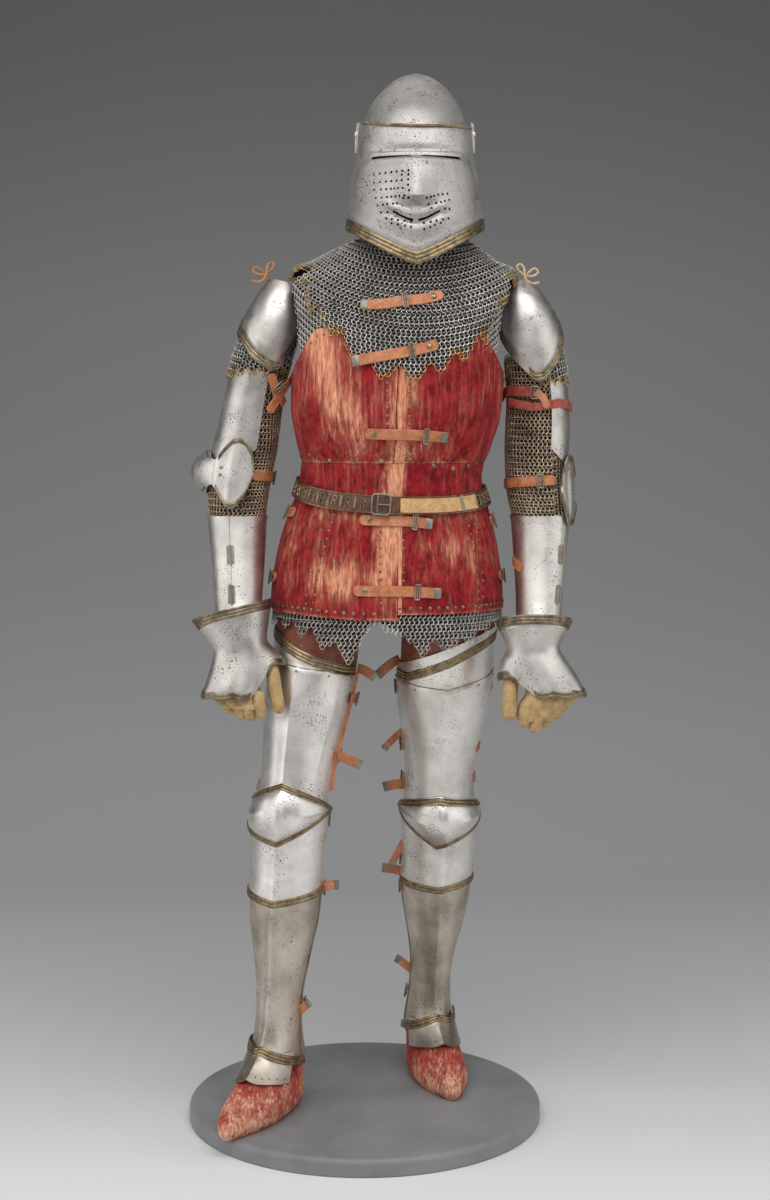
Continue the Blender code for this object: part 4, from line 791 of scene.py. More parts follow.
def ring_shape(radius):
    turn = np.linspace(0, 2 * np.pi, RING_STEPS, endpoint=False)
    small = np.linspace(0, 2 * np.pi, RING_SIDES, endpoint=False)
    reach = radius + WIRE * np.cos(small)[None, :]
    x = np.cos(turn)[:, None] * reach
    y = np.sin(turn)[:, None] * reach
    z = np.broadcast_to(WIRE * np.sin(small)[None, :], x.shape)
    points = np.stack([x, y, z], -1).reshape(-1, 3)
    a = np.arange(RING_STEPS)[:, None] * RING_SIDES + np.arange(RING_SIDES)[None, :]
    b = np.arange(RING_STEPS)[:, None] * RING_SIDES + (np.arange(RING_SIDES)[None, :] + 1) % RING_SIDES
    a2, b2 = np.roll(a, -1, axis=0), np.roll(b, -1, axis=0)
    return points, np.stack([a, a2, b2, b], -1).reshape(-1, 4)


def mail_places(form, angles, top, bottom, out, pitch, drop):
    """Middles of the rings that hang in rows from the top edge down to the bottom edge."""
    span = np.linspace(angles[0], angles[1], int(abs(angles[1] - angles[0])) + 1)
    high = np.broadcast_to(top(span), span.shape)
    low = np.broadcast_to(bottom(span), span.shape)
    v = np.linspace(0, 1, 120)[:, None]
    height = high[None, :] + (low.min() - 0.01 - high[None, :]) * v
    points = form.point(np.broadcast_to(span[None, :], height.shape), height, out)
    length = np.concatenate([np.zeros((1, len(span))),
                             np.cumsum(np.linalg.norm(np.diff(points, axis=0), axis=-1), axis=0)])
    found = []
    for k in range(int(length.max() / drop)):
        h = np.array([np.interp(k * drop, length[:, i], height[:, i]) for i in range(len(span))])
        reached = np.array([k * drop <= length[-1, i] for i in range(len(span))])
        path = form.point(span, h, out)
        run = np.concatenate([[0], np.cumsum(np.linalg.norm(np.diff(path, axis=0), axis=1))])
        step = np.arange(0.5 * pitch * (k % 2), run[-1], pitch)
        degrees = np.interp(step, run, span)
        heights = np.interp(step, run, h)
        keep = (heights > bottom(degrees)) & (np.interp(step, run, reached.astype(float)) > 0.5)
        found.append(np.stack([degrees[keep], heights[keep], np.full(keep.sum(), k)], -1))
    return np.concatenate(found)


def mail_rings(form, places, out, radius, lean=30.0):
    """Points and faces of the rings at their places, leaning one way in each row and back in the next."""
    shape, quads = ring_shape(radius)
    degrees, heights, row = places.T
    centre = form.point(degrees, heights, out)
    normal = form.normal(degrees, heights)
    up = unit(form.on(degrees, heights + 0.002) - form.on(degrees, heights - 0.002))
    across = np.cross(up, normal)
    scatter = np.sin(degrees * 12.9898 + heights * 7823.3) * 43758.5453
    scatter = (scatter - np.floor(scatter)) - 0.5
    angle = np.radians(np.where(row % 2 == 0, lean, -lean) + 8 * scatter)[:, None]
    tip = np.radians(12 + 6 * scatter)[:, None]
    facing = unit(normal * np.cos(angle) * np.cos(tip) + across * np.sin(angle) + up * np.sin(tip))
    first = unit(up - facing * (up * facing).sum(-1, keepdims=True))
    second = np.cross(facing, first)
    verts = (centre[:, None] + shape[None, :, 0:1] * second[:, None]
             + shape[None, :, 1:2] * first[:, None] * 1.04 + shape[None, :, 2:3] * facing[:, None])
    faces = quads[None] + (np.arange(len(degrees)) * len(shape))[:, None, None]
    return verts.reshape(-1, 3), faces.reshape(-1, 4)


def mail(name, form, angles, top, bottom, out, pitch=0.0081, drop=0.0056, radius=0.004, brass=0.0085,
         material=None, replaces=(), halves=1, core=None, slot="mail"):
    """Mail as rings over a near-black wall of painted shade standing in for the cloth behind, with brass
    rings along its lower edge.
    """
    material = material or RING_STEEL
    places = mail_places(form, angles, top, bottom, out, pitch, drop)
    edge = places[:, 1] < bottom(places[:, 0]) + brass
    made = []
    body, hem = places[~edge], places[edge]
    for half in range(halves):
        part = body[half * len(body) // halves:(half + 1) * len(body) // halves]
        verts, faces = mail_rings(form, part, out, radius)
        made.append(make(f"{name}_rings_{half + 1}" if halves > 1 else f"{name}_rings", verts, faces,
                         material, slot=slot, replaces=replaces if half == 0 else (), sharp=180))
    if len(hem):
        verts, faces = mail_rings(form, hem, out, radius)
        make(f"{name}_hem_rings", verts, faces, RING_BRASS, slot=slot, sharp=180)
    count = int(abs(angles[1] - angles[0]) / 2)
    behind = core if core is not None else out - 0.003
    # The wall behind the rings is near black: painted shade that shows between them.
    panel(f"{name}_core", form, angles, lambda d: bottom(d) + 0.0065, top, behind, 0.0008, count, 24,
          MAIL_BACKING_SHADE, slot=slot)


def tongues(edge, spacing, depth, first=0.0):
    """A hem with pointed tongues below the edge, one for each spacing in degrees."""
    def cut(degrees):
        where = ((np.asarray(degrees, float) - first) / spacing) % 1.0
        return edge(degrees) - depth(degrees) * (1.0 - 2.0 * np.abs(where - 0.5))
    return cut


cape_line = curve(CAPE_HEM)
cape_depth = curve([(-180, 0.01), (-78, 0.01), (-62, 0.024), (62, 0.024), (78, 0.01), (180, 0.01)])
cape_hem = tongues(lambda d: cape_line(wrap(d)) + cape_depth(wrap(d)), 360 / 26,
                   lambda d: cape_depth(wrap(d)))
mail("mail_cape", trunk, (-180, 180), level(1.474), cape_hem, CAPE_OFF + 0.0016, halves=2,
     replaces=("mail_cape",), core=CAPE_OFF - 0.0002)

skirt_line = curve(SKIRT_HEM)
skirt_depth = curve([(-180, 0.02), (-70, 0.02), (-30, 0.026), (-16, 0.04), (-9, 0.03), (-5, 0.006),
                     (5, 0.014), (14, 0.038), (27, 0.026), (70, 0.02), (180, 0.02)])
skirt_hem = tongues(lambda d: skirt_line(wrap(d)), 14.4, lambda d: skirt_depth(wrap(d)), first=SKIRT_NOTCH)
mail("mail_skirt", trunk, (-180, 180), level(0.858), skirt_hem, -0.006, pitch=0.008, drop=0.0058,
     radius=0.0044, brass=0.0, replaces=("mail_skirt",), core=-0.0098)

for side in SIDES:
    form, spot = arm[side], ARM_PLACES[side]
    sleeve_top = curve([(-180, 1.27), (-90, 1.25), (-40, 1.285), (0, 1.325), (60, 1.352), (110, 1.352),
                        (150, 1.33), (180, 1.27)])
    start = spot["upper_start"]
    mail(f"mail_sleeve_{side}", form, (start - 188, start + 8),
         lambda d: np.minimum(sleeve_top(wrap(d)), 1.262),
         level(0.985), -0.0008, pitch=0.0074, drop=0.0054, radius=0.0038, brass=0.0,
         material=RING_DARK, replaces=(f"mail_sleeve_{side}",), core=-0.0042)
    # Below the upper plate the rings run right round the arm.
    mail(f"mail_sleeve_low_{side}", form, (start + 8, start + 172), level(1.114), level(0.985), -0.0008,
         pitch=0.0074, drop=0.0054, radius=0.0038, brass=0.0, material=RING_DARK, core=-0.0042)
    # The shirt's shoulder shows in the coat's armhole, arching over the arm.
    ends = (-141, -36) if side == "right" else (36, 141)
    arch = curve([(-141, 1.262), (-120, 1.262), (-113, 1.334), (-71, 1.334), (-64, 1.23), (-36, 1.248)])
    mail(f"mail_shoulder_{side}", trunk, ends, level(1.352), lambda d: arch(-np.abs(d)), -0.003,
         brass=0.0, replaces=(f"mail_shoulder_{side}",), core=-0.0058)
    over = NEAR + PLATE + NEAR
    start = spot["cap_start"]
    cap_hem = tongues(level(spot["cap_hem"] + 0.004), 22.5, level(0.014), first=start)
    cap_top = curve([(-70, 1.3), (-20, 1.318), (10, 1.32), (40, 1.334), (120, 1.342), (200, 1.325)])
    mail(f"mail_cap_{side}", form, (start, start + 180), cap_top, cap_hem, over + 0.0012,
         replaces=(f"mail_cap_{side}",), core=over - 0.0004)


# Helmet
SIGHT_LOW, SIGHT_HIGH = 1.5745, 1.5818
MOUTH_SLOT = 0.0044
BREATH_RADIUS = 0.0021
# Rows of breathing holes on the wearer's right: height at the outer end, how much it falls towards the
# middle, and the angles; then round the mouth and on the left.
BREATHS = [
    (1.553, -0.0035, (-37.5, -31, -25, -19.5, -14.5, -9.5, -4.5)),
    (1.54, -0.001, (-36.5, -30, -24, -19, -14, -9.5)),
    (1.528, -0.001, (-36, -28.5, -23.5, -19, -16, -12.5, -8.5)),
    (1.515, -0.002, (-33.5, -27.5, -22.5, -18.5, -14.5, -11, -7)),
    (1.503, -0.002, (-31, -25, -21, -16.5, -13.5)),
    (1.55, 0.0, (-4.5, -9.8)),
    (1.542, 0.0, (-4.5,)),
    (1.5335, 0.0, (-4.5,)),
    (1.525, 0.0, (-3.8,)),
    (1.513, 0.0, (-4.2, -8.0)),
    (1.4915, 0.0, (-27.5, -22)),
    (1.482, 0.006, (-22, -17.5, -12.5, -7.5, -2.8)),
    (1.474, 0.006, (-17.5, -12.5, -7, -3)),
    (1.474, -0.008, (5, 10, 14.5, 20, 25)),
    (1.4645, -0.01, (5, 9.5, 13, 18)),
    (1.513, -0.0035, (6.5, 9.5, 12.3)),
    (1.519, -0.0025, (16.5, 20.5, 25)),
    (1.5035, -0.008, (8.5, 14.5, 18.5, 22, 26.5)),
    (1.497, 0.0, (10.5, 22, 26.5)),
]


def face(degrees):
    return curve([(0, 1.632), (46, 1.632), (58, 1.6), (64, 1.47), (180, 1.464)])(np.abs(wrap(degrees)))


skull_plate = panel("helmet_skull", skull, (-180, 180), face, level(1.7269), -PLATE, PLATE, 120, 60,
                    HELMET_STEEL, slot="steel", replaces=("helmet_skull",))
# The skull rises to a low point.
for vertex in skull_plate.data.vertices:
    rise_share = max(0.0, (vertex.co.z - BASE_TOP - 1.69) / 0.037)
    vertex.co.z += 0.0048 * rise_share**3
# A near-black sheet lines the inside of the skull. It is painted shade, so the slits and breathing holes read
# dark.
panel("helmet_inside_shade", skull, (-180, 180), lambda d: face(d) + 0.001, level(1.7235), -PLATE - 0.0009,
      0.0007, 90, 40, HOLE_SHADE, slot="steel")
knob = Batch()
knob.dome(np.array([0.086, 0.071, BASE_TOP + 1.7304]), np.array([0, 0, 1.0]), 0.0048, 0.001, 16)
finish_batch("helmet_tip", knob, HELMET_STEEL, slot="steel")


def visor_low(degrees):
    return 1.411 + 0.06 * np.abs(np.sin(np.radians(degrees))) ** 1.1


def visor_relief(degrees, height, v=None):
    """The beak, the ledge under the sight, the mouth's pressed lips and the chin's edge."""
    beak = 0.02 * np.maximum(0, 1 - np.abs(degrees) / 17.0) * np.clip((1.579 - height) / 0.062, 0, 1)
    beak = beak * np.where(height < 1.517, np.clip(1 - (1.517 - height) / 0.016, 0, 1), 1.0)
    ledge = 0.005 * hump(height, 1.572, 0.005) * blend(60 - np.abs(degrees), 0, 20)
    brow = 0.0022 * hump(height, 1.5862, 0.003) * blend(54 - np.abs(degrees), 0, 12)
    mouth = 1.477 + 0.018 * blend(np.abs(degrees), 0, 24) + 0.004 * blend(np.abs(degrees), 24, 104)
    near = blend(34 - np.abs(degrees), 0, 14)
    lips = 0.0045 * hump(height, mouth + 0.009, 0.005) * near - 0.003 * hump(height, mouth - 0.004,
                                                                             0.0045) * near
    chin = 0.0022 * hump(height, visor_low(degrees) + 0.024, 0.005)
    return beak + ledge + brow + lips + chin


stations = np.unique(np.concatenate([np.linspace(-104, 104, 87),
                                     [-43.5, -3.4, 3.4, 44.5, -17, -1.4, 1.4, 18]]))
mouth_low = 1.477 + 0.018 * blend(np.abs(stations), 0, 24) + 0.004 * blend(np.abs(stations), 24, 104)
top_edge = curve([(-104, 1.64), (-57, 1.643), (-30, 1.636), (0, 1.633), (30, 1.634), (68, 1.636),
                  (104, 1.64)])
chunks = [(visor_low(stations), 0), (mouth_low, 16), (mouth_low + MOUTH_SLOT * 0.8, 1),
          (np.full(len(stations), SIGHT_LOW), 28), (np.full(len(stations), SIGHT_HIGH), 1),
          (top_edge(stations), 22)]
heights = [chunks[0][0]]
holes_at = []
for (below, _), (above, steps) in zip(chunks, chunks[1:]):
    if steps == 1:
        holes_at.append(len(heights) - 1)
    for k in range(1, steps + 1):
        heights.append(below + (above - below) * k / steps)
heights = np.array(heights)
angles = np.broadcast_to(stations[None, :], heights.shape)
middle = (stations[:-1] + stations[1:]) / 2
holes = np.zeros((len(heights) - 1, len(stations) - 1), bool)
holes[holes_at[0]] = (np.abs(np.abs(middle - 0.5) - 9.2) < 7.8)
holes[holes_at[1]] = (middle > -43.5) & (middle < 44.5) & (np.abs(middle) > 3.4)
swell = visor_relief(angles, heights)
outer = visor.point(angles, heights, PLATE + swell)
inner = visor.point(angles, heights, swell)
verts, quads = wall(outer, inner, holes=holes)
visor_plate = make("visor", verts, quads, HELMET_STEEL, body="visor", slot="steel", replaces=("visor",))

drills = Batch()
for height, fall, row in BREATHS:
    for k, degrees in enumerate(row):
        h = height - fall * (k / max(1, len(row) - 1))
        lift = float(visor_relief(np.array(float(degrees)), np.array(h)))
        centre, across, up, normal = place(visor, degrees, h, PLATE + lift)
        drills.tube([centre - normal * 0.008, centre + normal * 0.006], BREATH_RADIUS, 8)
drill_mesh = bpy.data.meshes.new("breath_drills")
drill_mesh.from_pydata(np.concatenate(drills.verts).tolist(), [], drills.faces)
drill = bpy.data.objects.new("breath_drills", drill_mesh)
bpy.context.scene.collection.objects.link(drill)
cut = visor_plate.modifiers.new("breaths", "BOOLEAN")
cut.operation = "DIFFERENCE"
cut.solver = "EXACT"
cut.object = drill
evaluated = visor_plate.evaluated_get(bpy.context.evaluated_depsgraph_get())
drilled = bpy.data.meshes.new_from_object(evaluated)
visor_plate.modifiers.clear()
visor_plate.data = drilled
bpy.data.objects.remove(drill)

border = Batch()
stretch = np.linspace(-78, 80, 121)
ribbed(border, visor, stretch, lambda d: visor_low(d) + 0.0085, 0.0098, PLATE + 0.0004, ridges=3,
       ridge=0.0016, base=0.0016)
finish_batch("visor_border", border, BRASS, body="visor", slot="brass", replaces=("visor_border",))

rope = Batch()
for phase in (0, np.pi):
    run = np.linspace(-62, 72, 340)
    twist = run * 3.1 + phase
    lift = PLATE + 0.002 + 0.0013 * np.cos(twist)
    rope.tube(visor.point(run, top_edge(run) - 0.003 + 0.0013 * np.sin(twist), lift), 0.0014, 6)
finish_batch("visor_rope", rope, BRASS, body="visor", slot="brass")

arms, nails = Batch(), Batch()
for sign in (-1, 1):
    path_h = np.array([1.643, 1.634, 1.625, 1.612, 1.598])
    path_d = np.array([76, 81, 84, 86, 88.0]) * sign
    points = visor.point(path_d, path_h, PLATE + 0.0006)
    normals = visor.normal(path_d, path_h)
    arms.ribbon(points, normals, [0.0055, 0.007, 0.008, 0.0068, 0.004], 0.0022, (True, True))
    points = visor.point(path_d + 5 * sign, path_h, PLATE + 0.003)
    arms.tube(points, [0.0016, 0.0024, 0.0028, 0.0024, 0.0014], 8)
    centre, across, up, normal = place(visor, 84.0 * sign, 1.6265, PLATE + 0.0026)
    nails.dome(centre, normal, 0.0062, 0.0048, 16)
    nails.dome(visor.point(78.0 * sign, 1.64, PLATE + 0.0024), visor.normal(78.0 * sign, 1.64), 0.0026,
               0.0016)
    nails.dome(visor.point(88.0 * sign, 1.6, PLATE + 0.002), visor.normal(88.0 * sign, 1.6), 0.0024, 0.0014)
finish_batch("visor_pivots", arms, STEEL, body="visor", slot="steel")
finish_batch("visor_pivot_rivets", nails, STEEL, body="visor", slot="steel")
pins = Batch()
for degrees in (-70, -52, -30, -8, 0.0, 8, 30, 52, 70):
    rivet(pins, visor, degrees, visor_low(degrees) + 0.0045, PLATE + 0.0022, 0.0015, 0.0016, 8)
finish_batch("visor_border_pins", pins, BUCKLE_STEEL, body="visor", slot="steel")

# The band that carries the mail round the helmet's lower rim, seen below the visor.
MAIL_BAND_HEIGHT = 1.478
rim = Batch()
ribbed(rim, skull, np.linspace(72, 288, 91), lambda d: MAIL_BAND_HEIGHT + 0.0 * d, 0.009, 0.0003, ridges=1,
       ridge=0.0008, base=0.0012)
finish_batch("helmet_mail_band", rim, STRAP_RED, slot="strap_leather")
staples = Batch()
for degrees in range(78, 286, 11):
    rivet(staples, skull, degrees, MAIL_BAND_HEIGHT, 0.002, 0.003, 0.0032, 8)
finish_batch("helmet_staples", staples, BRASS, slot="brass")


# Velvet coat
WAIST = 1.088
# Patches where the pile has gone: angle, height, spread in each, and how much.
COAT_WEAR = [
    (-44, 1.27, 20, 0.055, 0.34), (-36, 1.19, 16, 0.05, 0.22), (-16, 1.16, 15, 0.06, 0.18),
    (2, 1.2, 4.5, 0.14, 0.3), (1, 0.98, 5.0, 0.13, 0.38), (-24, 0.9, 18, 0.035, 0.26),
    (-22, 1.01, 16, 0.02, 0.2), (30, 0.945, 20, 0.04, 0.16), (24, 1.12, 10, 0.06, 0.06),
    (34, 1.006, 22, 0.016, 0.16), (-50, 0.955, 14, 0.05, 0.08), (-70, 1.09, 60, 0.02, 0.02),
    (150, 1.15, 40, 0.1, 0.18), (205, 0.95, 40, 0.06, 0.18),
]


def wear_of(patches, degrees, height):
    total = np.zeros(np.shape(degrees))
    for at, level_at, wide, tall, amount in patches:
        total = total + amount * np.exp(-(wrap(degrees - at) / wide) ** 2 - ((height - level_at) / tall) ** 2)
    return total


def set_wear(obj, values):
    attribute = obj.data.attributes.new("wear", "FLOAT", "POINT")
    attribute.data.foreach_set("value", np.asarray(values, np.float32).ravel())


def coat_relief(degrees, height, v=None):
    """Gathers that slant in to the belt, long soft dents over the plates, and a groove along the waist seam.
    """
    turn = np.radians(degrees)
    waist = np.exp(-((height - 1.058) / 0.017) ** 2)
    slant = (height - 1.05) * 60.0 * np.tanh(wrap(degrees) / 25.0)
    gathers = 0.0022 * waist * (np.sin(turn * 26 + slant) + 0.6 * np.sin(turn * 41 - slant * 0.7 + 1.0))
    below = np.exp(-((height - 1.008) / 0.014) ** 2)
    gathers = gathers + 0.0012 * below * np.sin(turn * 33 + 0.8 * slant)
    seam = -0.0016 * np.exp(-((height - WAIST) / 0.0035) ** 2)
    pull = 0.0011 * np.exp(-((height - 1.105) / 0.02) ** 2) * np.sin(turn * 19 + height * 60)
    soft = 0.0007 * np.sin(height * 95 + 2 * np.sin(turn * 5)) * np.sin(turn * 7 + 1.3)
    return gathers + seam + pull + soft


COAT_FINENESS = 0.62


def coat_panel(name, angles, low, high, columns, rows):
    columns, rows = round(columns * COAT_FINENESS), round(rows * COAT_FINENESS)
    degrees = np.linspace(angles[0], angles[1], columns + 1)
    outer, inner = sampled(trunk, degrees, low, high, -0.0022, 0.0022, rows, coat_relief)
    verts, quads = wall(outer, inner)
    obj = make(name, verts, quads, VELVET, slot="velvet", replaces=(name,), sharp=60)
    d = np.broadcast_to(degrees[None, :], outer.shape[:2])
    lo, hi = low(degrees)[None, :], high(degrees)[None, :]
    h = lo + (hi - lo) * np.linspace(0, 1, rows + 1)[:, None]
    values = wear_of(COAT_WEAR, d, h)
    values = values + 0.2 * np.exp(-(np.abs(h - lo) / 0.004) ** 2)
    set_wear(obj, np.concatenate([values.ravel(), values.ravel()]))
    return obj


armhole = curve([(0, 1.29), (30, 1.29), (45, 1.278), (60, 1.252), (75, 1.232), (98, 1.222),
                 (120, 1.24), (140, 1.272), (160, 1.292), (180, 1.295)])


def coat_top(degrees):
    return armhole(np.abs(wrap(degrees)))


coat_hem = curve([(-97, 0.844), (-45, 0.84), (-12, 0.834), (3.6, 0.834), (3.8, 0.843), (97, 0.843),
                  (98, 0.844), (262, 0.844)])
low = level(WAIST + 0.0004)
coat_panel("coat_breast_right", (-97.4, -0.12), low, coat_top, 110, 60)
coat_panel("coat_breast_left", (0.12, 97.4), low, coat_top, 110, 60)
coat_panel("coat_back", (97.6, 262.4), low, coat_top, 120, 50)
high = level(WAIST - 0.0004)
coat_panel("skirt_front_right", (-44.9, 3.6), coat_hem, high, 70, 80)
coat_panel("skirt_front_left", (3.8, 52.4), coat_hem, high, 70, 80)
coat_panel("skirt_side_right", (-97.4, -45.1), coat_hem, high, 60, 80)
coat_panel("skirt_side_left", (52.6, 97.4), coat_hem, high, 60, 80)
coat_panel("skirt_back", (97.6, 262.4), coat_hem, high, 120, 70)


def coat_out(degrees, height):
    return float(coat_relief(np.array(float(degrees)), np.array(float(height))))


big, small, hem_studs = Batch(), Batch(), Batch()
WAIST_RIVETS = [(-59.5, 1.101), (-39.5, 1.092), (-22.5, 1.09), (-5.5, 1.093), (7.5, 1.095), (23, 1.084),
                (38, 1.08), (52.5, 1.083), (64, 1.086), (-75, 1.104), (80, 1.09)]
for degrees, height in WAIST_RIVETS + [(d, 1.095) for d in range(100, 264, 16)]:
    rivet(big, trunk, degrees, height, coat_out(degrees, height), 0.0042, 0.002, 12)
for column in ((-5.0, 1.3, -2.6, 1.1), (3.0, 1.296, 6.6, 1.1), (-3.5, 1.016, -2.0, 0.862),
               (6.0, 1.016, 6.2, 0.872), (-35.0, 1.02, -40.5, 0.858), (-29.5, 1.018, -35.5, 0.86),
               (47.0, 1.012, 48.5, 0.85), (53.5, 1.014, 52.2, 0.854)):
    d0, h0, d1, h1 = column
    steps = max(2, int(abs(h0 - h1) / 0.0125))
    for k in range(steps + 1):
        u = k / steps
        degrees, height = d0 + (d1 - d0) * u, h0 + (h1 - h0) * u
        rivet(small, trunk, degrees, height, coat_out(degrees, height), 0.0024, 0.0014, 8)
for degrees in np.arange(-92, 262, 4.6):
    height = float(coat_hem(degrees)) + 0.01
    rivet(hem_studs, trunk, degrees, height, coat_out(degrees, height), 0.003, 0.0015, 8)
for degrees in list(np.arange(34, 96, 5.5)) + list(-np.arange(34, 96, 5.5)):
    height = float(coat_top(degrees)) - 0.007
    rivet(small, trunk, degrees, height, coat_out(degrees, height), 0.0023, 0.0013, 8)
finish_batch("coat_waist_rivets", big, BRASS, slot="brass")
finish_batch("coat_rivets", small, BRASS_DARK, slot="brass")
finish_batch("coat_hem_studs", hem_studs, BRASS_DARK, slot="brass")

# The lapped front edge: a pale folded welt down the middle.
lap = Batch()
for low_h, high_h, at in ((1.0895, 1.288, 1.4), (0.846, 1.087, 4.6)):
    run = np.linspace(low_h, high_h, 60)
    d = np.full(60, at)
    lap.ribbon(trunk.point(d, run, coat_relief(d, run) - 0.0004), trunk.normal(d, run), 0.003, 0.0014)
lap_obj = finish_batch("coat_front_edge", lap, VELVET, slot="velvet")
set_wear(lap_obj, np.full(len(lap_obj.data.vertices), 0.5))


# Straps and buckles
leathers, metals, brasses, tans = Batch(), Batch(), Batch(), Batch()


def buckle(centre, across, up, normal, width, height, wire=0.0012, batch=None):
    """A square buckle with its bar and tongue, on a strap that runs across."""
    batch = batch or metals
    batch.frame(centre + normal * 0.0014, across, up, width, height, wire)
    batch.tube([centre - up * height / 2 + normal * 0.0012, centre + up * height / 2 + normal * 0.0012],
               wire * 0.8, 6)
    batch.tube([centre + normal * 0.0022, centre + across * (width * 0.62) + normal * 0.003], wire * 0.7, 6)


def form_strap(batch, form, stations, half, out, thick=0.0022, ends=(False, False), count=40, sag=None):
    points, normals = along_form(form, stations, count, out)
    if sag is not None:
        points = points + normals * (sag * np.sin(np.linspace(0, np.pi, count)))[:, None]
    batch.ribbon(points, normals, half, thick, ends)
    return points


def station(form, stations, u, out):
    stations = np.array(stations, float)
    key = np.linspace(0, 1, len(stations))
    return place(form, float(np.interp(u, key, stations[:, 0])), float(np.interp(u, key, stations[:, 1])),
                 out)


def strap_frame(form, stations, u, out):
    """Directions at a place on a strap: along it, across it and out."""
    centre, _, _, normal = station(form, stations, u, out)
    after, _, _, _ = station(form, stations, min(1.0, u + 0.03), out)
    before, _, _, _ = station(form, stations, max(0.0, u - 0.03), out)
    along = unit(after - before)
    return centre, along, np.cross(normal, along), normal


# name, stations, off the form, where the buckle and rivet are along it, and which end the metal tip is on
FRONT_STRAPS = [
    ("front_strap_1", [(-21.5, 1.333), (0, 1.35), (22, 1.351)], OVER_CAPE, 0.5, 0.86, 0),
    ("front_strap_2", [(-21, 1.25), (2.5, 1.268), (17, 1.276)], OVER_CAPE, 0.58, 0.86, 0),
    ("front_strap_3", [(-14.5, 1.138), (9, 1.136), (26, 1.132)], 0.0016, 0.66, 0.1, 1),
    ("front_strap_4", [(-14, 0.997), (8, 0.995), (20, 0.99)], 0.0016, 0.66, 0.12, 1),
    ("front_strap_5", [(-14, 0.882), (8, 0.881), (23, 0.877)], 0.0016, 0.64, 0.12, 1),
]
for name, stations_, out, bar, pin, tip in FRONT_STRAPS:
    form_strap(leathers, trunk, stations_, 0.0088, out, 0.0024, (tip == 1, tip == 0))
    centre, along, across_, normal = strap_frame(trunk, stations_, bar, out + 0.0026)
    buckle(centre, along, across_, normal, 0.0075, 0.025)
    centre, along, across_, normal = strap_frame(trunk, stations_, 0.035 if tip == 0 else 0.965, out + 0.0026)
    metals.box(centre, along, across_, normal, (0.012, 0.0165, 0.0022))
    centre, along, across_, normal = strap_frame(trunk, stations_, pin, out + 0.0024)
    brasses.dome(centre, normal, 0.0052, 0.0022, 14)
    for u in ((0.66, 0.74) if tip == 0 else (0.8, 0.88)):
        centre, along, across_, normal = strap_frame(trunk, stations_, u, out + 0.0021)
        metals.dome(centre, normal, 0.0009, 0.0004, 6)
finish_batch("front_straps", leathers, STRAP, slot="strap_leather",
             replaces=tuple(row[0] for row in FRONT_STRAPS))


# Belt: dark leather with small mounts, a square buckle and a tan end
def belt_middle(degrees):
    turn = np.radians(degrees)
    return 1.04 - 0.019 * np.maximum(np.cos(turn), 0.0) - 0.007 * np.sin(turn)


BELT_OUT = LOOSE + 0.0002
panel("belt", trunk, (-180, 180), lambda d: belt_middle(d) - 0.014, lambda d: belt_middle(d) + 0.014,
      BELT_OUT, 0.003, 240, 4, BELT_LEATHER, slot="red_leather", replaces=("belt",))
edges, mounts_, plaques = Batch(), Batch(), Batch()
around = np.linspace(-180, 180, 200)[:-1]
for side_ in (-1, 1):
    edges.tube(trunk.point(around, belt_middle(around) + side_ * 0.0134, BELT_OUT + 0.0034), 0.0011, 6,
               closed=True)
finish_batch("belt_edges", edges, BRASS, slot="brass")
for k, degrees in enumerate(np.arange(-176, 178, 4.4)):
    if -12 < degrees < 62:
        continue
    centre, across, up, normal = place(trunk, degrees, float(belt_middle(degrees)), BELT_OUT + 0.0032)
    if k % 2 == 0:
        plaques.box(centre, across, up, normal, (0.0042, 0.0215, 0.0016))
        for rise in (-0.0072, 0.0, 0.0072):
            mounts_.dome(centre + up * rise + normal * 0.0006, normal, 0.0016, 0.0012, 8)
    else:
        for rise in (-0.0044, 0.0044):
            turn = np.linspace(0, 2 * np.pi, 9)[:-1]
            loop = (centre + up * rise + np.cos(turn)[:, None] * across * 0.0034
                    + np.sin(turn)[:, None] * up * 0.0042 + normal * 0.0006)
            mounts_.tube(loop, 0.0009, 4, closed=True)
        mounts_.dome(centre + normal * 0.0004, normal, 0.0014, 0.0012, 8)
finish_batch("belt_plaques", plaques, BRASS_DARK, slot="brass")
finish_batch("belt_mounts", mounts_, BRASS, slot="brass")

run = np.linspace(4.5, 56, 60)
tans.ribbon(trunk.point(run, belt_middle(run) - 0.0006, BELT_OUT + 0.0036),
            trunk.normal(run, belt_middle(run)), 0.0118, 0.0024, (False, False))
centre, across, up, normal = place(trunk, -3.6, float(belt_middle(-3.6)), BELT_OUT + 0.005)
metals.frame(centre, across, up, 0.03, 0.033, 0.0019)
metals.tube([centre - up * 0.0165 - across * 0.006, centre + up * 0.0165 - across * 0.006], 0.0015, 8)
metals.tube([centre - across * 0.006 + normal * 0.001, centre + across * 0.015 + normal * 0.0026], 0.0013, 8)
centre, across, up, normal = place(trunk, 42.0, float(belt_middle(42.0)), BELT_OUT + 0.0062)
metals.box(centre, across, up, normal, (0.006, 0.026, 0.0024))
centre, across, up, normal = place(trunk, 57.5, float(belt_middle(57.5)), BELT_OUT + 0.0052)
metals.frame(centre, across, up, 0.013, 0.017, 0.0013)
for degrees in (12, 20, 28, 35):
    centre, across, up, normal = place(trunk, degrees, float(belt_middle(degrees)), BELT_OUT + 0.0058)
    metals.dome(centre, normal, 0.0012, 0.0005, 8)
finish_batch("belt_end", tans, TAN_LEATHER, slot="red_leather")

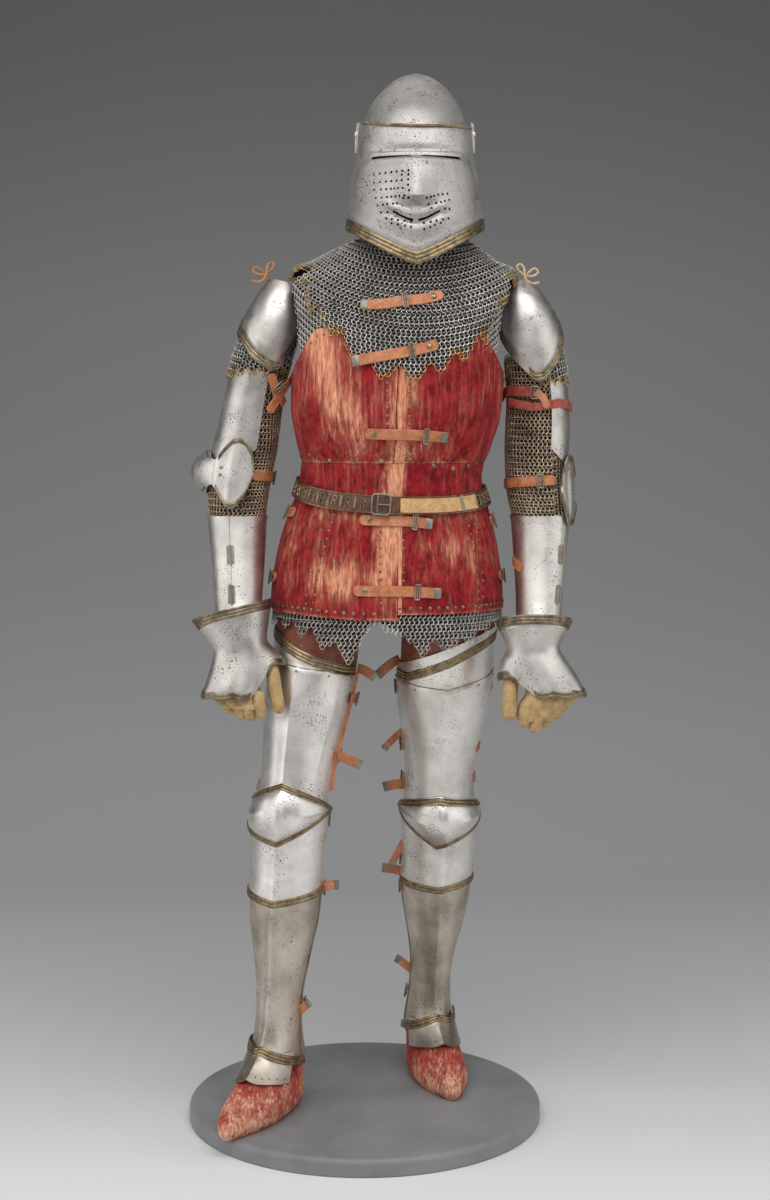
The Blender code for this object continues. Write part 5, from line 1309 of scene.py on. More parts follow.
# Short straps with buckles at the coat's sides
SIDE_STRAP_OUT = 0.0018
side_straps = Batch()
for stations_ in (
        [(-104, 1.006), (-88, 1.001), (-66, 1.006)], [(-108, 0.894), (-88, 0.893), (-71, 0.897)],
        [(108, 0.992), (88, 0.988), (74, 0.99)], [(110, 0.896), (90, 0.895), (72, 0.899)]):
    form_strap(side_straps, trunk, stations_, 0.0085, SIDE_STRAP_OUT, 0.0022, (False, True))
    centre, along, across_, normal = strap_frame(trunk, stations_, 0.55, SIDE_STRAP_OUT + 0.0024)
    buckle(centre, along, across_, normal, 0.008, 0.024)
    centre, along, across_, normal = strap_frame(trunk, stations_, 0.86, SIDE_STRAP_OUT + 0.0022)
    brasses.dome(centre, normal, 0.004, 0.0018, 12)
finish_batch("coat_side_straps", side_straps, STRAP, slot="strap_leather")


# Arms
SHOULDER_HIGH = curve([(-68, 1.362), (-45, 1.372), (-22, 1.379), (20, 1.383), (90, 1.386), (160, 1.368)])
BAND_START = {"right": -31, "left": -12}
SHOULDER_EDGE = {
    "right": [(-68, 1.318), (-50, 1.28), (-33, 1.244), (-22, 1.241), (0, 1.252), (20, 1.265), (45, 1.285),
              (75, 1.297),
              (100, 1.315), (158, 1.322)],
    "left": ARM_PLACES["left"]["shoulder_edge"]}
OVER_PLATE = NEAR + PLATE + NEAR
OVER_CAP = OVER_PLATE + MAIL + 0.002
arm_brass, arm_rivets, arm_leather, arm_red, arm_metal = Batch(), Batch(), Batch(), Batch(), Batch()


def build_arm(side):
    form, spot = arm[side], ARM_PLACES[side]
    flip = form.mirror < 0
    start = spot["upper_start"]
    upper_low = curve([(start, 1.11), (start + 30, 1.086), (start + 180, 1.086)])
    panel(f"upper_arm_{side}", form, (start, start + 180), upper_low, level(1.27), NEAR + 0.0004, PLATE, 60,
          30, STEEL, slot="steel", replaces=(f"upper_arm_{side}",))
    edge = curve(SHOULDER_EDGE[side])
    panel(f"shoulder_plate_{side}", form, (-67.5, 157.5), edge, SHOULDER_HIGH, OVER_CAP, PLATE, 90, 40, STEEL,
          relief=lambda d, h, v: 0.0014 * hump(h, edge(d) + 0.026, 0.0035), slot="steel",
          replaces=(f"shoulder_plate_{side}",))
    ribbed(arm_brass, form, np.linspace(BAND_START[side], 156, 90), lambda d: edge(d) + 0.0065, 0.0085,
           OVER_CAP + PLATE + 0.0004, ridges=3, ridge=0.0012, base=0.0008)
    for degrees in np.arange(BAND_START[side] + 7, 150, 22):
        rivet(arm_rivets, form, degrees, float(edge(degrees)) + 0.0065, OVER_CAP + PLATE + 0.002, 0.0018,
              0.0012, 8)
    build_elbow(side, form, spot, flip)
    seam = spot["hinge_line"]
    forearm = dict(low=level(0.79), out=spot["forearm_out"], thick=PLATE, columns=70, rows=40, material=STEEL,
                   slot="steel")
    panel(f"forearm_outer_{side}", form, (seam, seam + 179.6), high=level(spot["forearm_top"]),
          relief=lambda d, h, v: 0.0016 * hump(h, spot["forearm_top"] - 0.002, 0.004),
          replaces=(f"forearm_outer_{side}",), **forearm)
    panel(f"forearm_inner_{side}", form, (seam + 180.4, seam + 359.2), high=level(0.998),
          relief=lambda d, h, v: 0.0016 * hump(h, 0.996, 0.004), replaces=(f"forearm_inner_{side}",),
          **forearm)
    out = spot["forearm_out"] + PLATE
    for height in (0.945, 0.88):
        for rise in (0.0, 0.012, 0.024):
            for offset in (-4.5, 5.0):
                rivet(arm_rivets, form, seam + offset, height - rise + 0.004, out, 0.0017, 0.001, 8)
        centre, across, up, normal = place(form, seam + 0.0, height - 0.01, out + 0.0004)
        arm_metal.tube([centre - up * 0.017 + normal * 0.0006, centre + up * 0.017 + normal * 0.0006],
                       0.0016, 8)
        for offset in (-4.5, 5.0):
            c2, a2, u2, n2 = place(form, seam + offset, height - 0.01, out + 0.0002)
            arm_metal.box(c2, a2, u2, n2, (0.0052, 0.03, 0.0012))


def build_elbow(side, form, spot, flip):
    centre_h, twist = spot["elbow_centre"], spot["elbow_turn"]
    half_height = curve([(-22, 0.004), (-19, 0.024), (-12, 0.042), (-2, 0.056), (8, 0.06), (18, 0.057),
                         (27, 0.045), (34, 0.03), (40, 0.02), (50, 0.022), (65, 0.031), (80, 0.035),
                         (100, 0.036), (140, 0.034), (178, 0.028)])
    smooth_half = lambda d: (half_height(d - 1.5) + 2 * half_height(d) + half_height(d + 1.5)) / 4
    over_plate = NEAR + PLATE + GAP
    local = np.unique(np.concatenate([np.linspace(-21.6, -17, 9), np.linspace(-17, 52, 50),
                                      np.linspace(52, 178, 40)]))
    across = np.linspace(-1, 1, 25)[:, None]
    local_ = np.broadcast_to(local[None, :], (25, len(local)))
    height = centre_h + smooth_half(local_) * across
    wing = 0.004 + 0.004 * blend(np.abs(local_ - 9), 8, 30)
    wing = np.where(local_ >= 40, spot["elbow_lift"] + 0.0076 * (1 - blend(local_, 45, 80)), wing)
    cup = 0.026 * blend(local_, 40, 95) * (1 - blend(local_, 130, 185)) * (1 - across**2)
    dish = 0.003 * hump(local_, 9, 12) * (1 - across**2) * blend(32 - local_, 0, 8)
    ridge = 0.0012 * (hump(np.abs(across), 0.55, 0.1)) * blend(local_, 50, 70)
    out = over_plate + wing + cup + dish + ridge + PLATE
    outer = form.point(local_ + twist, height, out)
    inner = form.point(local_ + twist, height, out - PLATE)
    verts, quads = wall(outer, inner, flip=flip)
    make(f"elbow_{side}", verts, quads, STEEL, slot="steel", replaces=(f"elbow_{side}",))
    # Brass along the wing's two edges with small rivets, and a steel wire along the cup's two edges.
    for sign in (-1, 1):
        run = np.linspace(-20.5, 34, 60)
        h = centre_h + sign * smooth_half(run) * 0.985
        lift = over_plate + 0.004 + 0.004 * blend(np.abs(run - 9), 8, 30) + PLATE + 0.0006
        points, normals = form.point(run + twist, h, lift), form.normal(run + twist, h)
        inward = form.point(run + twist, centre_h + sign * (smooth_half(run) - 0.01).clip(0), lift + 0.0006)
        strip = np.stack([points - normals * 0.0008, points + normals * 0.001,
                          (points + inward) / 2 + normals * 0.0022,
                          inward + normals * 0.0006, inward - normals * 0.0008])
        arm_brass.wall(strip[1:4], strip[1:4] - normals[None] * 0.0016, flip=flip != (sign > 0))
        for u in np.linspace(-14, 30, 7):
            h0 = centre_h + sign * (float(smooth_half(u)) - 0.0038)
            lift0 = over_plate + 0.004 + 0.004 * float(blend(abs(u - 9), 8, 30)) + PLATE + 0.0022
            rivet(arm_rivets, form, u + twist, h0, lift0, 0.0013, 0.001, 8)
        run = np.linspace(58, 178, 70)
        h = centre_h + sign * (smooth_half(run) - 0.004)
        a2 = (1 - (1 - 0.004 / smooth_half(run)) ** 2)
        cup_lift = 0.026 * blend(run, 40, 95) * (1 - blend(run, 130, 185)) * a2
        wing_lift = spot["elbow_lift"] + 0.0076 * (1 - blend(run, 45, 80))
        arm_metal.tube(form.point(run + twist, h, over_plate + wing_lift + cup_lift + PLATE + 0.0006),
                       0.0015, 6)
    for rise in (-0.006, 0.006):
        rivet(arm_rivets, form, twist + (28 if side == "right" else 6), centre_h + 0.002 + rise,
              over_plate + 0.0085, 0.0028, 0.0018, 10)
    strap_h = spot["elbow_strap"]
    begin, end = 178 + 4 + twist, 360 - 24 + twist
    form_strap(arm_leather, form, [(begin, strap_h - 0.004), ((begin + end) / 2, strap_h + 0.002),
                                   (end, strap_h + 0.006)],
               0.0085, NEAR + 0.0004, 0.0024, (False, True), count=60)
    centre, along, across_, normal = strap_frame(form, [(begin, strap_h - 0.004), (end, strap_h + 0.006)],
                                                 0.8 if side == "left" else 0.52, NEAR + 0.003)
    buckle(centre, along, across_, normal, 0.01, 0.0225, 0.0014, arm_metal)


for side in SIDES:
    build_arm(side)

# Straps that tie the mail caps and upper plates, and the laces at the shoulders.
right, left = arm["right"], arm["left"]
form_strap(arm_leather, right, [(-72, 1.232), (-52, 1.208), (-30, 1.172)], 0.008, 0.0105, 0.0022,
           (False, True))
form_strap(arm_leather, right, [(-22, 1.236), (-40, 1.206), (-66, 1.186)], 0.008, 0.0082, 0.0022,
           (True, False))
centre, along, across_, normal = strap_frame(right, [(-22, 1.236), (-66, 1.186)], 0.42, 0.0132)
buckle(centre, along, across_, normal, 0.011, 0.022, 0.0014, arm_metal)
form_strap(arm_red, left, [(-100, 1.196), (-60, 1.207), (-22, 1.206), (0, 1.204)], 0.0085, 0.0052, 0.0024)
form_strap(arm_red, left, [(-60, 1.188), (-10, 1.18), (40, 1.186), (92, 1.176)], 0.007, 0.0056, 0.0022,
           (False, True))
centre, along, across_, normal = strap_frame(left, [(-60, 1.207), (0, 1.204)], 0.88, 0.0082)
buckle(centre, along, across_, normal, 0.013, 0.02, 0.0014, arm_metal)
form_strap(arm_leather, left, [(-6, 1.205), (6, 1.196), (12, 1.178)], 0.0062, 0.0092, 0.002, (False, True))
form_strap(arm_leather, left, [(-90, 0.925), (-64, 0.918), (-46, 0.911)], 0.0075, 0.0036, 0.0022,
           (False, True))


def shoulder_lace(name, exit, sign, material):
    """A lace tied in a bow on a shoulder."""
    turns = [(0, 0, 0), (0.002, -0.004, 0.006), (-0.007, -0.006, 0.016), (-0.016, -0.006, 0.022),
             (-0.022, -0.006, 0.015),
             (-0.014, -0.007, 0.009), (-0.001, -0.0085, 0.009), (0.008, -0.01, 0.016), (0.013, -0.01, 0.024),
             (0.006, -0.01, 0.028), (0.0, -0.011, 0.02), (0.001, -0.013, 0.009), (-0.004, -0.0135, 0.001),
             (-0.013, -0.013, -0.003), (-0.022, -0.012, 0.0)]
    knots = np.array(turns, float) * (sign * 1.1, 1.5, 1.1) + exit
    key = np.linspace(0, 1, len(knots))
    fine = np.linspace(0, 1, 120)
    line = np.stack([np.interp(fine, key, knots[:, k]) for k in range(3)], -1)
    for _ in range(12):
        line[1:-1] = (line[:-2] + 2 * line[1:-1] + line[2:]) / 4
    bow = Batch()
    bow.tube(line, 0.0019, 8)
    piece = finish_batch(name, bow, material, slot="strap_leather")


shoulder_lace("shoulder_lace_right", arm["right"].point(62.0, 1.38, OVER_CAP + PLATE + 0.0018), 1, LACE)
shoulder_lace("shoulder_lace_left", arm["left"].point(8.0, 1.376, OVER_CAP + PLATE + 0.0018), -1, LACE_PALE)
finish_batch("arm_borders", arm_brass, BRASS_DARK, slot="brass")
finish_batch("arm_rivets", arm_rivets, BUCKLE_STEEL, slot="steel")
finish_batch("arm_straps", arm_leather, STRAP, slot="strap_leather",
             replaces=("elbow_strap_right", "elbow_strap_left"))
finish_batch("arm_red_straps", arm_red, STRAP_RED, slot="strap_leather")
finish_batch("arm_buckles", arm_metal, BUCKLE_STEEL, slot="steel")


# Hands
def build_hand(side):
    form, inner_form, spot = hand[side], glove[side], HAND_PLACES[side]
    flip = form.mirror < 0
    tilt_front, tilt_side = spot["rim_tilt"]

    def rim_edge(degrees):
        turn = np.radians(degrees)
        return spot["rim"] + tilt_front * np.cos(turn) + tilt_side * np.sin(turn)

    guard, knuckle = spot["guard"], spot["knuckle"]
    base_low = curve([(-180, guard), (-70, guard), (-62, guard - 0.016), (-54, knuckle + 0.01),
                      (-46, knuckle),
                      (95, knuckle), (115, knuckle + 0.01), (140, guard - 0.02), (160, guard), (180, guard)])

    def lower(degrees):
        wavy = 0.0035 * np.abs(np.sin(np.radians((wrap(degrees) + 46) * 4.4))) * blend(wrap(degrees), -50,
                                                                                       -40)
        return base_low(wrap(degrees)) + 0.001 - wavy * (1 - blend(wrap(degrees), 70, 95))

    def relief(degrees, height, v):
        beside = np.exp(-((wrap(degrees) + 96) / 30.0) ** 2)
        thumb = 0.031 * beside * (1.0 - blend(height, guard, guard + 0.04))
        flutes = (0.0018 * np.abs(np.sin(np.radians((wrap(degrees) + 46) * 4.4)))
                  * (1 - blend(height, knuckle, knuckle + 0.045)))
        flutes = flutes * blend(wrap(degrees), -48, -38) * (1 - blend(wrap(degrees), 70, 90))
        ridge = 0.0012 * hump(wrap(degrees), 6, 7) * (1 - blend(height, guard + 0.02, guard + 0.06))
        cuff = 0.0012 * hump(height, rim_edge(degrees) - 0.02, 0.0025)
        return thumb + flutes + ridge + cuff

    panel(f"gauntlet_{side}", form, (-180, 180), lower, rim_edge, 0.0, PLATE, 180, 70, STEEL, relief=relief,
          slot="steel", replaces=(f"gauntlet_{side}",))
    around = np.linspace(-180, 180, 181)
    ribbed(hand_brass, form, around, lambda d: rim_edge(d) - 0.0075, 0.008, PLATE + 0.0002, ridges=3,
           ridge=0.0011, base=0.001, relief=lambda d, h, v: relief(d, np.minimum(h, 0.9), v))
    run = np.linspace(-44, 96, 90)
    ribbed(hand_brass, form, run, lambda d: lower(d) + 0.0048, 0.0055, PLATE + 0.0002, ridges=2, ridge=0.0009,
           base=0.0009, relief=relief)
    run = np.linspace(-160, -62, 60)
    ribbed(hand_brass, form, run, lambda d: lower(d) + 0.0046, 0.0048, PLATE + 0.0002, ridges=1, ridge=0.0008,
           base=0.0009, relief=relief)
    for degrees in np.arange(-172, 180, 12):
        h = float(rim_edge(degrees)) - 0.0075
        lift = float(relief(np.array(degrees), np.array(h), None))
        rivet(hand_rivets, form, degrees, h, PLATE + 0.0014 + lift, 0.0014, 0.001, 8)
    for degrees in np.arange(-40, 96, 8.5):
        h = float(lower(np.array(degrees))) + 0.0048
        lift = float(relief(np.array(degrees), np.array(h), None))
        rivet(hand_rivets, form, degrees, h, PLATE + 0.0012 + lift, 0.0012, 0.0009, 8)
    # Glove: a palm and four fingers let into one another, and the thumb.
    bottom, top = spot["glove"]
    degrees = np.linspace(0, 360, 91)[:-1][None, :]
    v = np.linspace(0, 1, 26)[:, None]
    height = bottom + 0.02 + (top - bottom - 0.02) * v
    degrees = np.broadcast_to(degrees, height.shape[:1] + degrees.shape[1:])
    height = np.broadcast_to(height, degrees.shape)
    across = np.sin(np.radians(degrees))
    crease = 0.003 * np.abs(np.sin(np.pi * 2 * across)) * (1 - blend(height, guard - 0.03, guard))
    outer = inner_form.point(degrees, height, crease - 0.003 * (1 - blend(v, 0.0, 0.3)))
    inner = inner_form.point(degrees, height, crease - 0.002 - 0.003 * (1 - blend(v, 0.0, 0.3)))
    verts, quads = wall(outer, inner, True, flip)
    make(f"glove_{side}", verts, quads, BUFF, slot="buff_leather", replaces=(f"glove_{side}",), sharp=60)
    fingers = Batch()
    for root, tip, radius, bend in spot["fingers"]:
        root, tip = np.array(root), np.array(tip)
        u = np.linspace(0, 1, 26)[:, None]
        line = root + (tip - root) * u + np.array([0, -1.0, 0]) * bend * np.sin(np.pi * u)
        line[:, 2] += BASE_TOP
        profile = curve([(0.0, 0.86), (0.3, 0.98), (0.36, 0.93), (0.55, 1.0), (0.66, 0.94), (0.84, 0.92),
                         (0.93, 0.74), (0.98, 0.45), (1.0, 0.16)])
        fingers.tube(line, radius * profile(u[:, 0]), 16)
    finish_batch(f"glove_fingers_{side}", fingers, BUFF, slot="buff_leather", sharp=60)
    root, tip = np.array(spot["thumb_root"]), np.array(spot["thumb_tip"])
    u = np.linspace(0, 1, 26)[:, None]
    line = tip + (root - tip) * u + np.array([0, -1.0, 0]) * 0.002 * np.sin(np.pi * u)
    line[:, 2] += BASE_TOP
    profile = curve([(0.0, 0.15), (0.02, 0.45), (0.08, 0.76), (0.2, 0.92), (0.45, 1.0), (0.55, 0.95),
                     (0.75, 1.0),
                     (1.0, 0.9)])
    thumb = Batch()
    thumb.tube(line, spot["thumb_radius"] * profile(u[:, 0]), 18)
    finish_batch(f"glove_thumb_{side}", thumb, BUFF, slot="buff_leather", replaces=(f"glove_thumb_{side}",),
                 sharp=60)


# Roots and tips of the fingers, their radius and how far they bow forwards.
HAND_PLACES["right"]["fingers"] = [
    ((-0.234, -0.08, 0.706), (-0.218, -0.07, 0.679), 0.0105, 0.004),
    ((-0.212, -0.084, 0.706), (-0.199, -0.077, 0.67), 0.0112, 0.004),
    ((-0.193, -0.086, 0.71), (-0.186, -0.08, 0.666), 0.0112, 0.004),
    ((-0.174, -0.086, 0.715), (-0.169, -0.084, 0.67), 0.0108, 0.004)]
HAND_PLACES["left"]["fingers"] = [
    ((0.333, -0.08, 0.706), (0.312, -0.072, 0.67), 0.0108, 0.004),
    ((0.312, -0.084, 0.7), (0.295, -0.078, 0.656), 0.0115, 0.004),
    ((0.293, -0.086, 0.696), (0.278, -0.084, 0.6465), 0.0115, 0.004),
    ((0.274, -0.086, 0.7), (0.262, -0.088, 0.656), 0.0105, 0.004)]
hand_brass, hand_rivets = Batch(), Batch()
for side in SIDES:
    build_hand(side)
finish_batch("gauntlet_borders", hand_brass, BRASS_DARK, slot="brass")
finish_batch("gauntlet_rivets", hand_rivets, BRASS, slot="brass")


# Legs
leg_brass, leg_rivets, leg_straps, leg_metal, lame_lines = Batch(), Batch(), Batch(), Batch(), Batch()
LEG_LOOKS = {
    "right": {"brass_top": [(-90, 0.748), (-82, 0.753), (-40, 0.78), (-3, 0.8), (26, 0.814), (60, 0.822),
                            (90, 0.826)],
              "lame": [(-90, 0.731), (18, 0.754), (90, 0.762)],
              "ankle": [(-88, 0.057), (21, 0.102), (67, 0.104)],
              "shin_band": [(-90, 0.368), (-76, 0.365), (-1, 0.35), (58, 0.358), (90, 0.364)],
              "straps": [(-128, -84, 0.592, 0.009, 0.0), (-124, -88, 0.484, 0.0085, 0.0),
                         (-126, -88, 0.365, 0.009, 0.0),
                         (-132, -92, 0.167, 0.008, 0.0), (-122, -82, 0.69, 0.008, 0.006)],
              "outer": [(68, 96, 0.542, 0.0085), (66, 98, 0.484, 0.009)]},
    "left": {"brass_top": [(-90, 0.737), (-78, 0.737), (-54, 0.735), (-29, 0.746), (0, 0.763), (26, 0.781),
                           (60, 0.798), (90, 0.806)],
             "lame": [(-92, 0.725), (-39, 0.712), (0, 0.708), (31, 0.718), (90, 0.736)],
             "ankle": [(-82, 0.065), (37, 0.094), (67, 0.097)],
             "shin_band": [(-90, 0.345), (-9, 0.34), (67, 0.348), (90, 0.352)],
             "straps": [(-122, -80, 0.7, 0.0085, 0.0), (-124, -82, 0.598, 0.0095, 0.0),
                        (-120, -84, 0.536, 0.007, 0.0),
                        (-124, -84, 0.39, 0.012, 0.0), (-124, -84, 0.333, 0.0085, 0.0),
                        (-130, -90, 0.134, 0.0085, 0.0)],
             "outer": [(72, 98, 0.706, 0.0085), (70, 96, 0.596, 0.0085), (70, 97, 0.54, 0.0085),
                       (68, 96, 0.478, 0.009)]},
}
# Strap ends that stand off the legs: where each begins and ends, across and up, and half its width.
LOOSE_ENDS = {
    "right": [(-0.056, 0.626, -0.009, 0.6085, 0.0085), (-0.012, 0.77, 0.015, 0.756, 0.008),
              (-0.08, 0.396, -0.047, 0.404, 0.008), (-0.12, 0.176, -0.096, 0.201, 0.007)],
    "left": [(0.06, 0.78, 0.024, 0.753, 0.008), (0.072, 0.656, 0.035, 0.622, 0.006),
             (0.074, 0.553, 0.035, 0.55, 0.0085), (0.074, 0.46, 0.047, 0.41, 0.006),
             (0.08, 0.386, 0.033, 0.398, 0.008), (0.09, 0.198, 0.057, 0.227, 0.007)],
}
LEG_RIDGE = 0.004


def keel_ridge(degrees, height, low_h, high_h, shift=0.0):
    """The sharp ridge down the front of a plate, fading at its ends."""
    sharp = np.maximum(0.0, 1 - np.abs(wrap(degrees) - shift) / 16.0) ** 1.5
    return LEG_RIDGE * sharp * blend(height, low_h, low_h + 0.05) * (1 - blend(height, high_h - 0.05, high_h))


def build_leg(side):
    form, spot, looks = leg[side], LEG_PLACES[side], LEG_LOOKS[side]

    def leather_flare(degrees, height, v):
        inward = np.exp(-((degrees + 80) / 40.0) ** 2)
        outward = np.exp(-((degrees - 95) / 40.0) ** 2)
        ripple = 0.0012 * np.sin(np.radians(degrees) * 9 + height * 60) * blend(v, 0.5, 0.8)
        return (spot["inner_flare"] * inward + spot["hip_flare"] * outward) * blend(v, 0.834, 1.0) + ripple

    panel(f"thigh_leather_{side}", form, (-180, 180), level(0.5), level(0.866), -0.0024 - 0.0013, 0.0024,
          130, 60,
          RED_LEATHER, relief=leather_flare, slot="red_leather", replaces=(f"thigh_leather_{side}",),
          sharp=60)

    def thigh_top(degrees):
        return 0.78 + 0.033 * np.sin(np.radians(degrees))

    brass_top, lame = curve(looks["brass_top"]), curve(looks["lame"])

    def thigh_relief(degrees, height, v):
        ridge = keel_ridge(degrees, height, 0.52, 0.74)
        step = 0.0022 * blend(lame(degrees) - height, -0.0015, 0.0015)
        step = step * (1 - blend(lame(degrees) - height, 0.05, 0.14))
        flutes = 0.0016 * np.exp(-((wrap(degrees) + 50 + (height - 0.6) * 60) / 5.0) ** 2) * blend(height,
                                                                                                   0.52, 0.6)
        return ridge + step + flutes * (1 - blend(height, 0.66, 0.72))

    panel(f"thigh_plate_{side}", form, (-90, 90), level(0.5), thigh_top, GAP, PLATE, 120, 110, THIGH_STEEL,
          relief=thigh_relief, slot="steel", replaces=(f"thigh_plate_{side}",))
    run = np.linspace(-89, 89, 110)
    top = lambda d: np.minimum(brass_top(d), thigh_top(d) + 0.0) - 0.0085
    ribbed(leg_brass, form, run, top, 0.008, GAP + PLATE + 0.0002, ridges=3, ridge=0.0011, base=0.001,
           relief=thigh_relief)
    for degrees in np.arange(-84, 88, 6.5):
        h = float(top(degrees))
        lift = float(thigh_relief(np.array(degrees), np.array(h), None))
        rivet(leg_rivets, form, degrees, h, GAP + PLATE + 0.0016 + lift, 0.0013, 0.001, 8)
    h = lame(run) + 0.0012
    lift = thigh_relief(run, h, None)
    lame_lines.tube(form.point(run, h, GAP + PLATE + lift + 0.0004), 0.0011, 6)
    for degrees in (-78, -40, 0, 40, 78):
        rivet(leg_rivets, form, degrees, float(lame(degrees)) - 0.006, GAP + PLATE + 0.0022, 0.0022, 0.0012,
              8)

    over = GAP + PLATE + NEAR
    lame_low, lame_high = curve(spot["lame_low"]), curve(spot["lame_high"])
    knee_low, knee_high = curve(spot["knee_low"]), curve(spot["knee_high"])

    def lame_relief(degrees, height, v):
        ridge = keel_ridge(degrees, height, 0.3, 0.6)
        folds = 0.0004 * np.abs(np.sin((height - lame_low(degrees)) / 0.024 * np.pi)) * blend(height, 0.372,
                                                                                              0.392)
        return ridge + folds * (1 - 0.6 * blend(np.abs(degrees), 60, 90))

    panel(f"knee_lower_{side}", form, (-90, 90), lame_low, lame_high, over, PLATE, 110, 70, THIGH_STEEL,
          relief=lame_relief, slot="steel", replaces=(f"knee_lower_{side}",))
    ribbed(leg_brass, form, run, lambda d: lame_low(d) + 0.0068, 0.0062, over + PLATE + 0.0002, ridges=2,
           ridge=0.0012, base=0.001, relief=lame_relief)
    for degrees in np.arange(-84, 88, 8):
        h = float(lame_low(degrees)) + 0.0068
        lift = float(lame_relief(np.array(degrees), np.array(h), None))
        rivet(leg_rivets, form, degrees, h, over + PLATE + 0.0014 + lift, 0.0014, 0.001, 8)

    over_below = over + PLATE + GAP

    def cup(degrees, height, v):
        v = (height - knee_low(degrees)) / (knee_high(degrees) - knee_low(degrees)) if v is None else v
        v = np.clip(v, 0.0, 1.0)
        lobe = 0.016 * np.cos(np.radians(degrees) * 0.86) ** 2 * np.sin(np.pi * v) ** 0.9
        ridge = 0.005 * np.maximum(0.0, 1 - np.abs(wrap(degrees)) / 15.0) ** 1.4 * np.sin(np.pi * v) ** 0.5
        across = 0.0022 * np.exp(-((v - 0.5) / 0.05) ** 2) * blend(np.abs(degrees), 14, 30)
        return lobe + ridge + across - 0.003 * blend(v, 0.75, 1.0)

    panel(f"knee_{side}", form, (-90, 90), knee_low, knee_high, over_below, PLATE, 120, 50, THIGH_STEEL,
          relief=cup, slot="steel", replaces=(f"knee_{side}",))
    tall = lambda d: (knee_high(d) - knee_low(d))
    half = 0.0058
    for edge, sign in ((knee_high, -1), (knee_low, 1)):
        ribbed(leg_brass, form, run, lambda d: edge(d) + sign * np.minimum(0.006, tall(d) * 0.45), half * 0.9,
               over_below + PLATE + 0.0001, ridges=2, ridge=0.0011, base=0.001,
               relief=lambda d, h, v: cup(d, h, None))
        for degrees in np.arange(-70, 88, 8):
            h = float(edge(degrees)) + sign * 0.006
            lift = float(cup(np.array(float(degrees)), np.array(h), None))
            rivet(leg_rivets, form, degrees, h, over_below + PLATE + 0.0014 + lift, 0.0014, 0.001, 8)

    shin_low = curve([(-180, 0.082), (-90, 0.078), (0, 0.106), (90, 0.078), (180, 0.082)])

    def shin_relief(degrees, height, v):
        return keel_ridge(degrees, height, 0.09, 0.4) * 1.1

    shin = dict(low=shin_low, out=GAP, thick=PLATE, rows=100, material=GREAVE_STEEL, slot="steel")
    panel(f"shin_front_{side}", form, (-90, 90), high=level(0.44), columns=110, relief=shin_relief,
          replaces=(f"shin_front_{side}",), **shin)
    panel(f"shin_back_{side}", form, (90.8, 269.2), high=level(0.41), columns=90,
          replaces=(f"shin_back_{side}",), **shin)
    for degrees in (91.5, 268.5):
        heights = np.linspace(0.085, 0.405, 50)
        leg_metal.tube(form.point(np.full(50, degrees), heights, GAP + PLATE + 0.0006), 0.0012, 6)
    for height in (0.37, 0.24, 0.12):
        for rise in (-0.012, 0.0, 0.012):
            for degrees in (84, 97):
                rivet(leg_rivets, form, degrees, height + rise, GAP + PLATE, 0.0019, 0.0011, 8)

    ankle_low = curve([(-85, 0.05), (-40, 0.062), (0, 0.068), (40, 0.062), (85, 0.05)])
    ankle = curve(looks["ankle"])
    ankle_out = over + 0.0012

    def ankle_relief(degrees, height, v):
        sharp = np.maximum(0.0, 1 - np.abs(wrap(degrees)) / 18.0) ** 1.5
        return 0.0035 * sharp * (1 - blend(height, 0.085, 0.105))

    panel(f"ankle_plate_{side}", form, (-67.5, 67.5), ankle_low, level(0.1), ankle_out, PLATE, 80, 24,
          GREAVE_STEEL, relief=ankle_relief, slot="steel", replaces=(f"ankle_plate_{side}",))
    run = np.linspace(-92, 92, 90)
    band_h = lambda d: np.maximum(ankle(d), shin_low(d) - 0.004) + 0.004
    ribbed(leg_brass, form, run, band_h, 0.0068, ankle_out + PLATE * 0.2 + 0.001, ridges=3, ridge=0.0011,
           base=0.001, relief=lambda d, h, v: ankle_relief(d, h, v))
    for degrees in np.arange(-88, 90, 9):
        rivet(leg_rivets, form, degrees, float(band_h(degrees)), ankle_out + 0.0024, 0.0013, 0.001, 8)
    for degrees in np.arange(-60, 64, 12):
        rivet(leg_rivets, form, degrees, float(ankle_low(degrees)) + 0.006, ankle_out + PLATE + 0.0002
              + float(ankle_relief(np.array(float(degrees)), np.array(0.06), None)), 0.0015, 0.001, 8)

    # Straps behind the plates, their ends and buckles showing at the medial edges.
    for start, end, height, half, lift in looks["straps"]:
        out = GAP + PLATE + 0.0006 + lift
        stations_ = [(start, height - 0.003), ((start + end) / 2, height + 0.001), (end, height + 0.003)]
        form_strap(leg_straps, form, stations_, half, out, 0.0024, (True, False))
        centre, along, across_, normal = strap_frame(form, stations_, 0.6, out + 0.0026)
        buckle(centre, along, across_, normal, 0.01, half * 2 + 0.0065, 0.0014, leg_metal)
        centre, along, across_, normal = strap_frame(form, stations_, 0.93, out + 0.0024)
        leg_metal.dome(centre, normal, 0.0032, 0.0016, 10)
    for start, end, height, half in looks["outer"]:
        out = GAP + PLATE + 0.0006
        inner_over = over + PLATE + GAP + PLATE if 0.45 < height < 0.5 else out
        stations_ = [(start, height), (end, height - 0.001)]
        form_strap(leg_straps, form, stations_, half, inner_over, 0.0024, (True, False))
        centre, along, across_, normal = strap_frame(form, stations_, 0.2, inner_over + 0.0024)
        leg_metal.dome(centre, normal, 0.003, 0.0016, 10)
    for x0, z0, x1, z1, half in LOOSE_ENDS[side]:
        y = float(form.point(-96.0, z0 - BASE_TOP, 0.004)[1])
        u = np.linspace(0, 1, 14)
        bow = np.sin(np.pi * u)
        points = np.stack([x0 + (x1 - x0) * u, y - 0.004 * bow, z0 + (z1 - z0) * u + 0.003 * bow], -1)
        leg_straps.ribbon(points, np.tile([0.0, -1.0, 0.0], (14, 1)), half, 0.0024, (False, False))
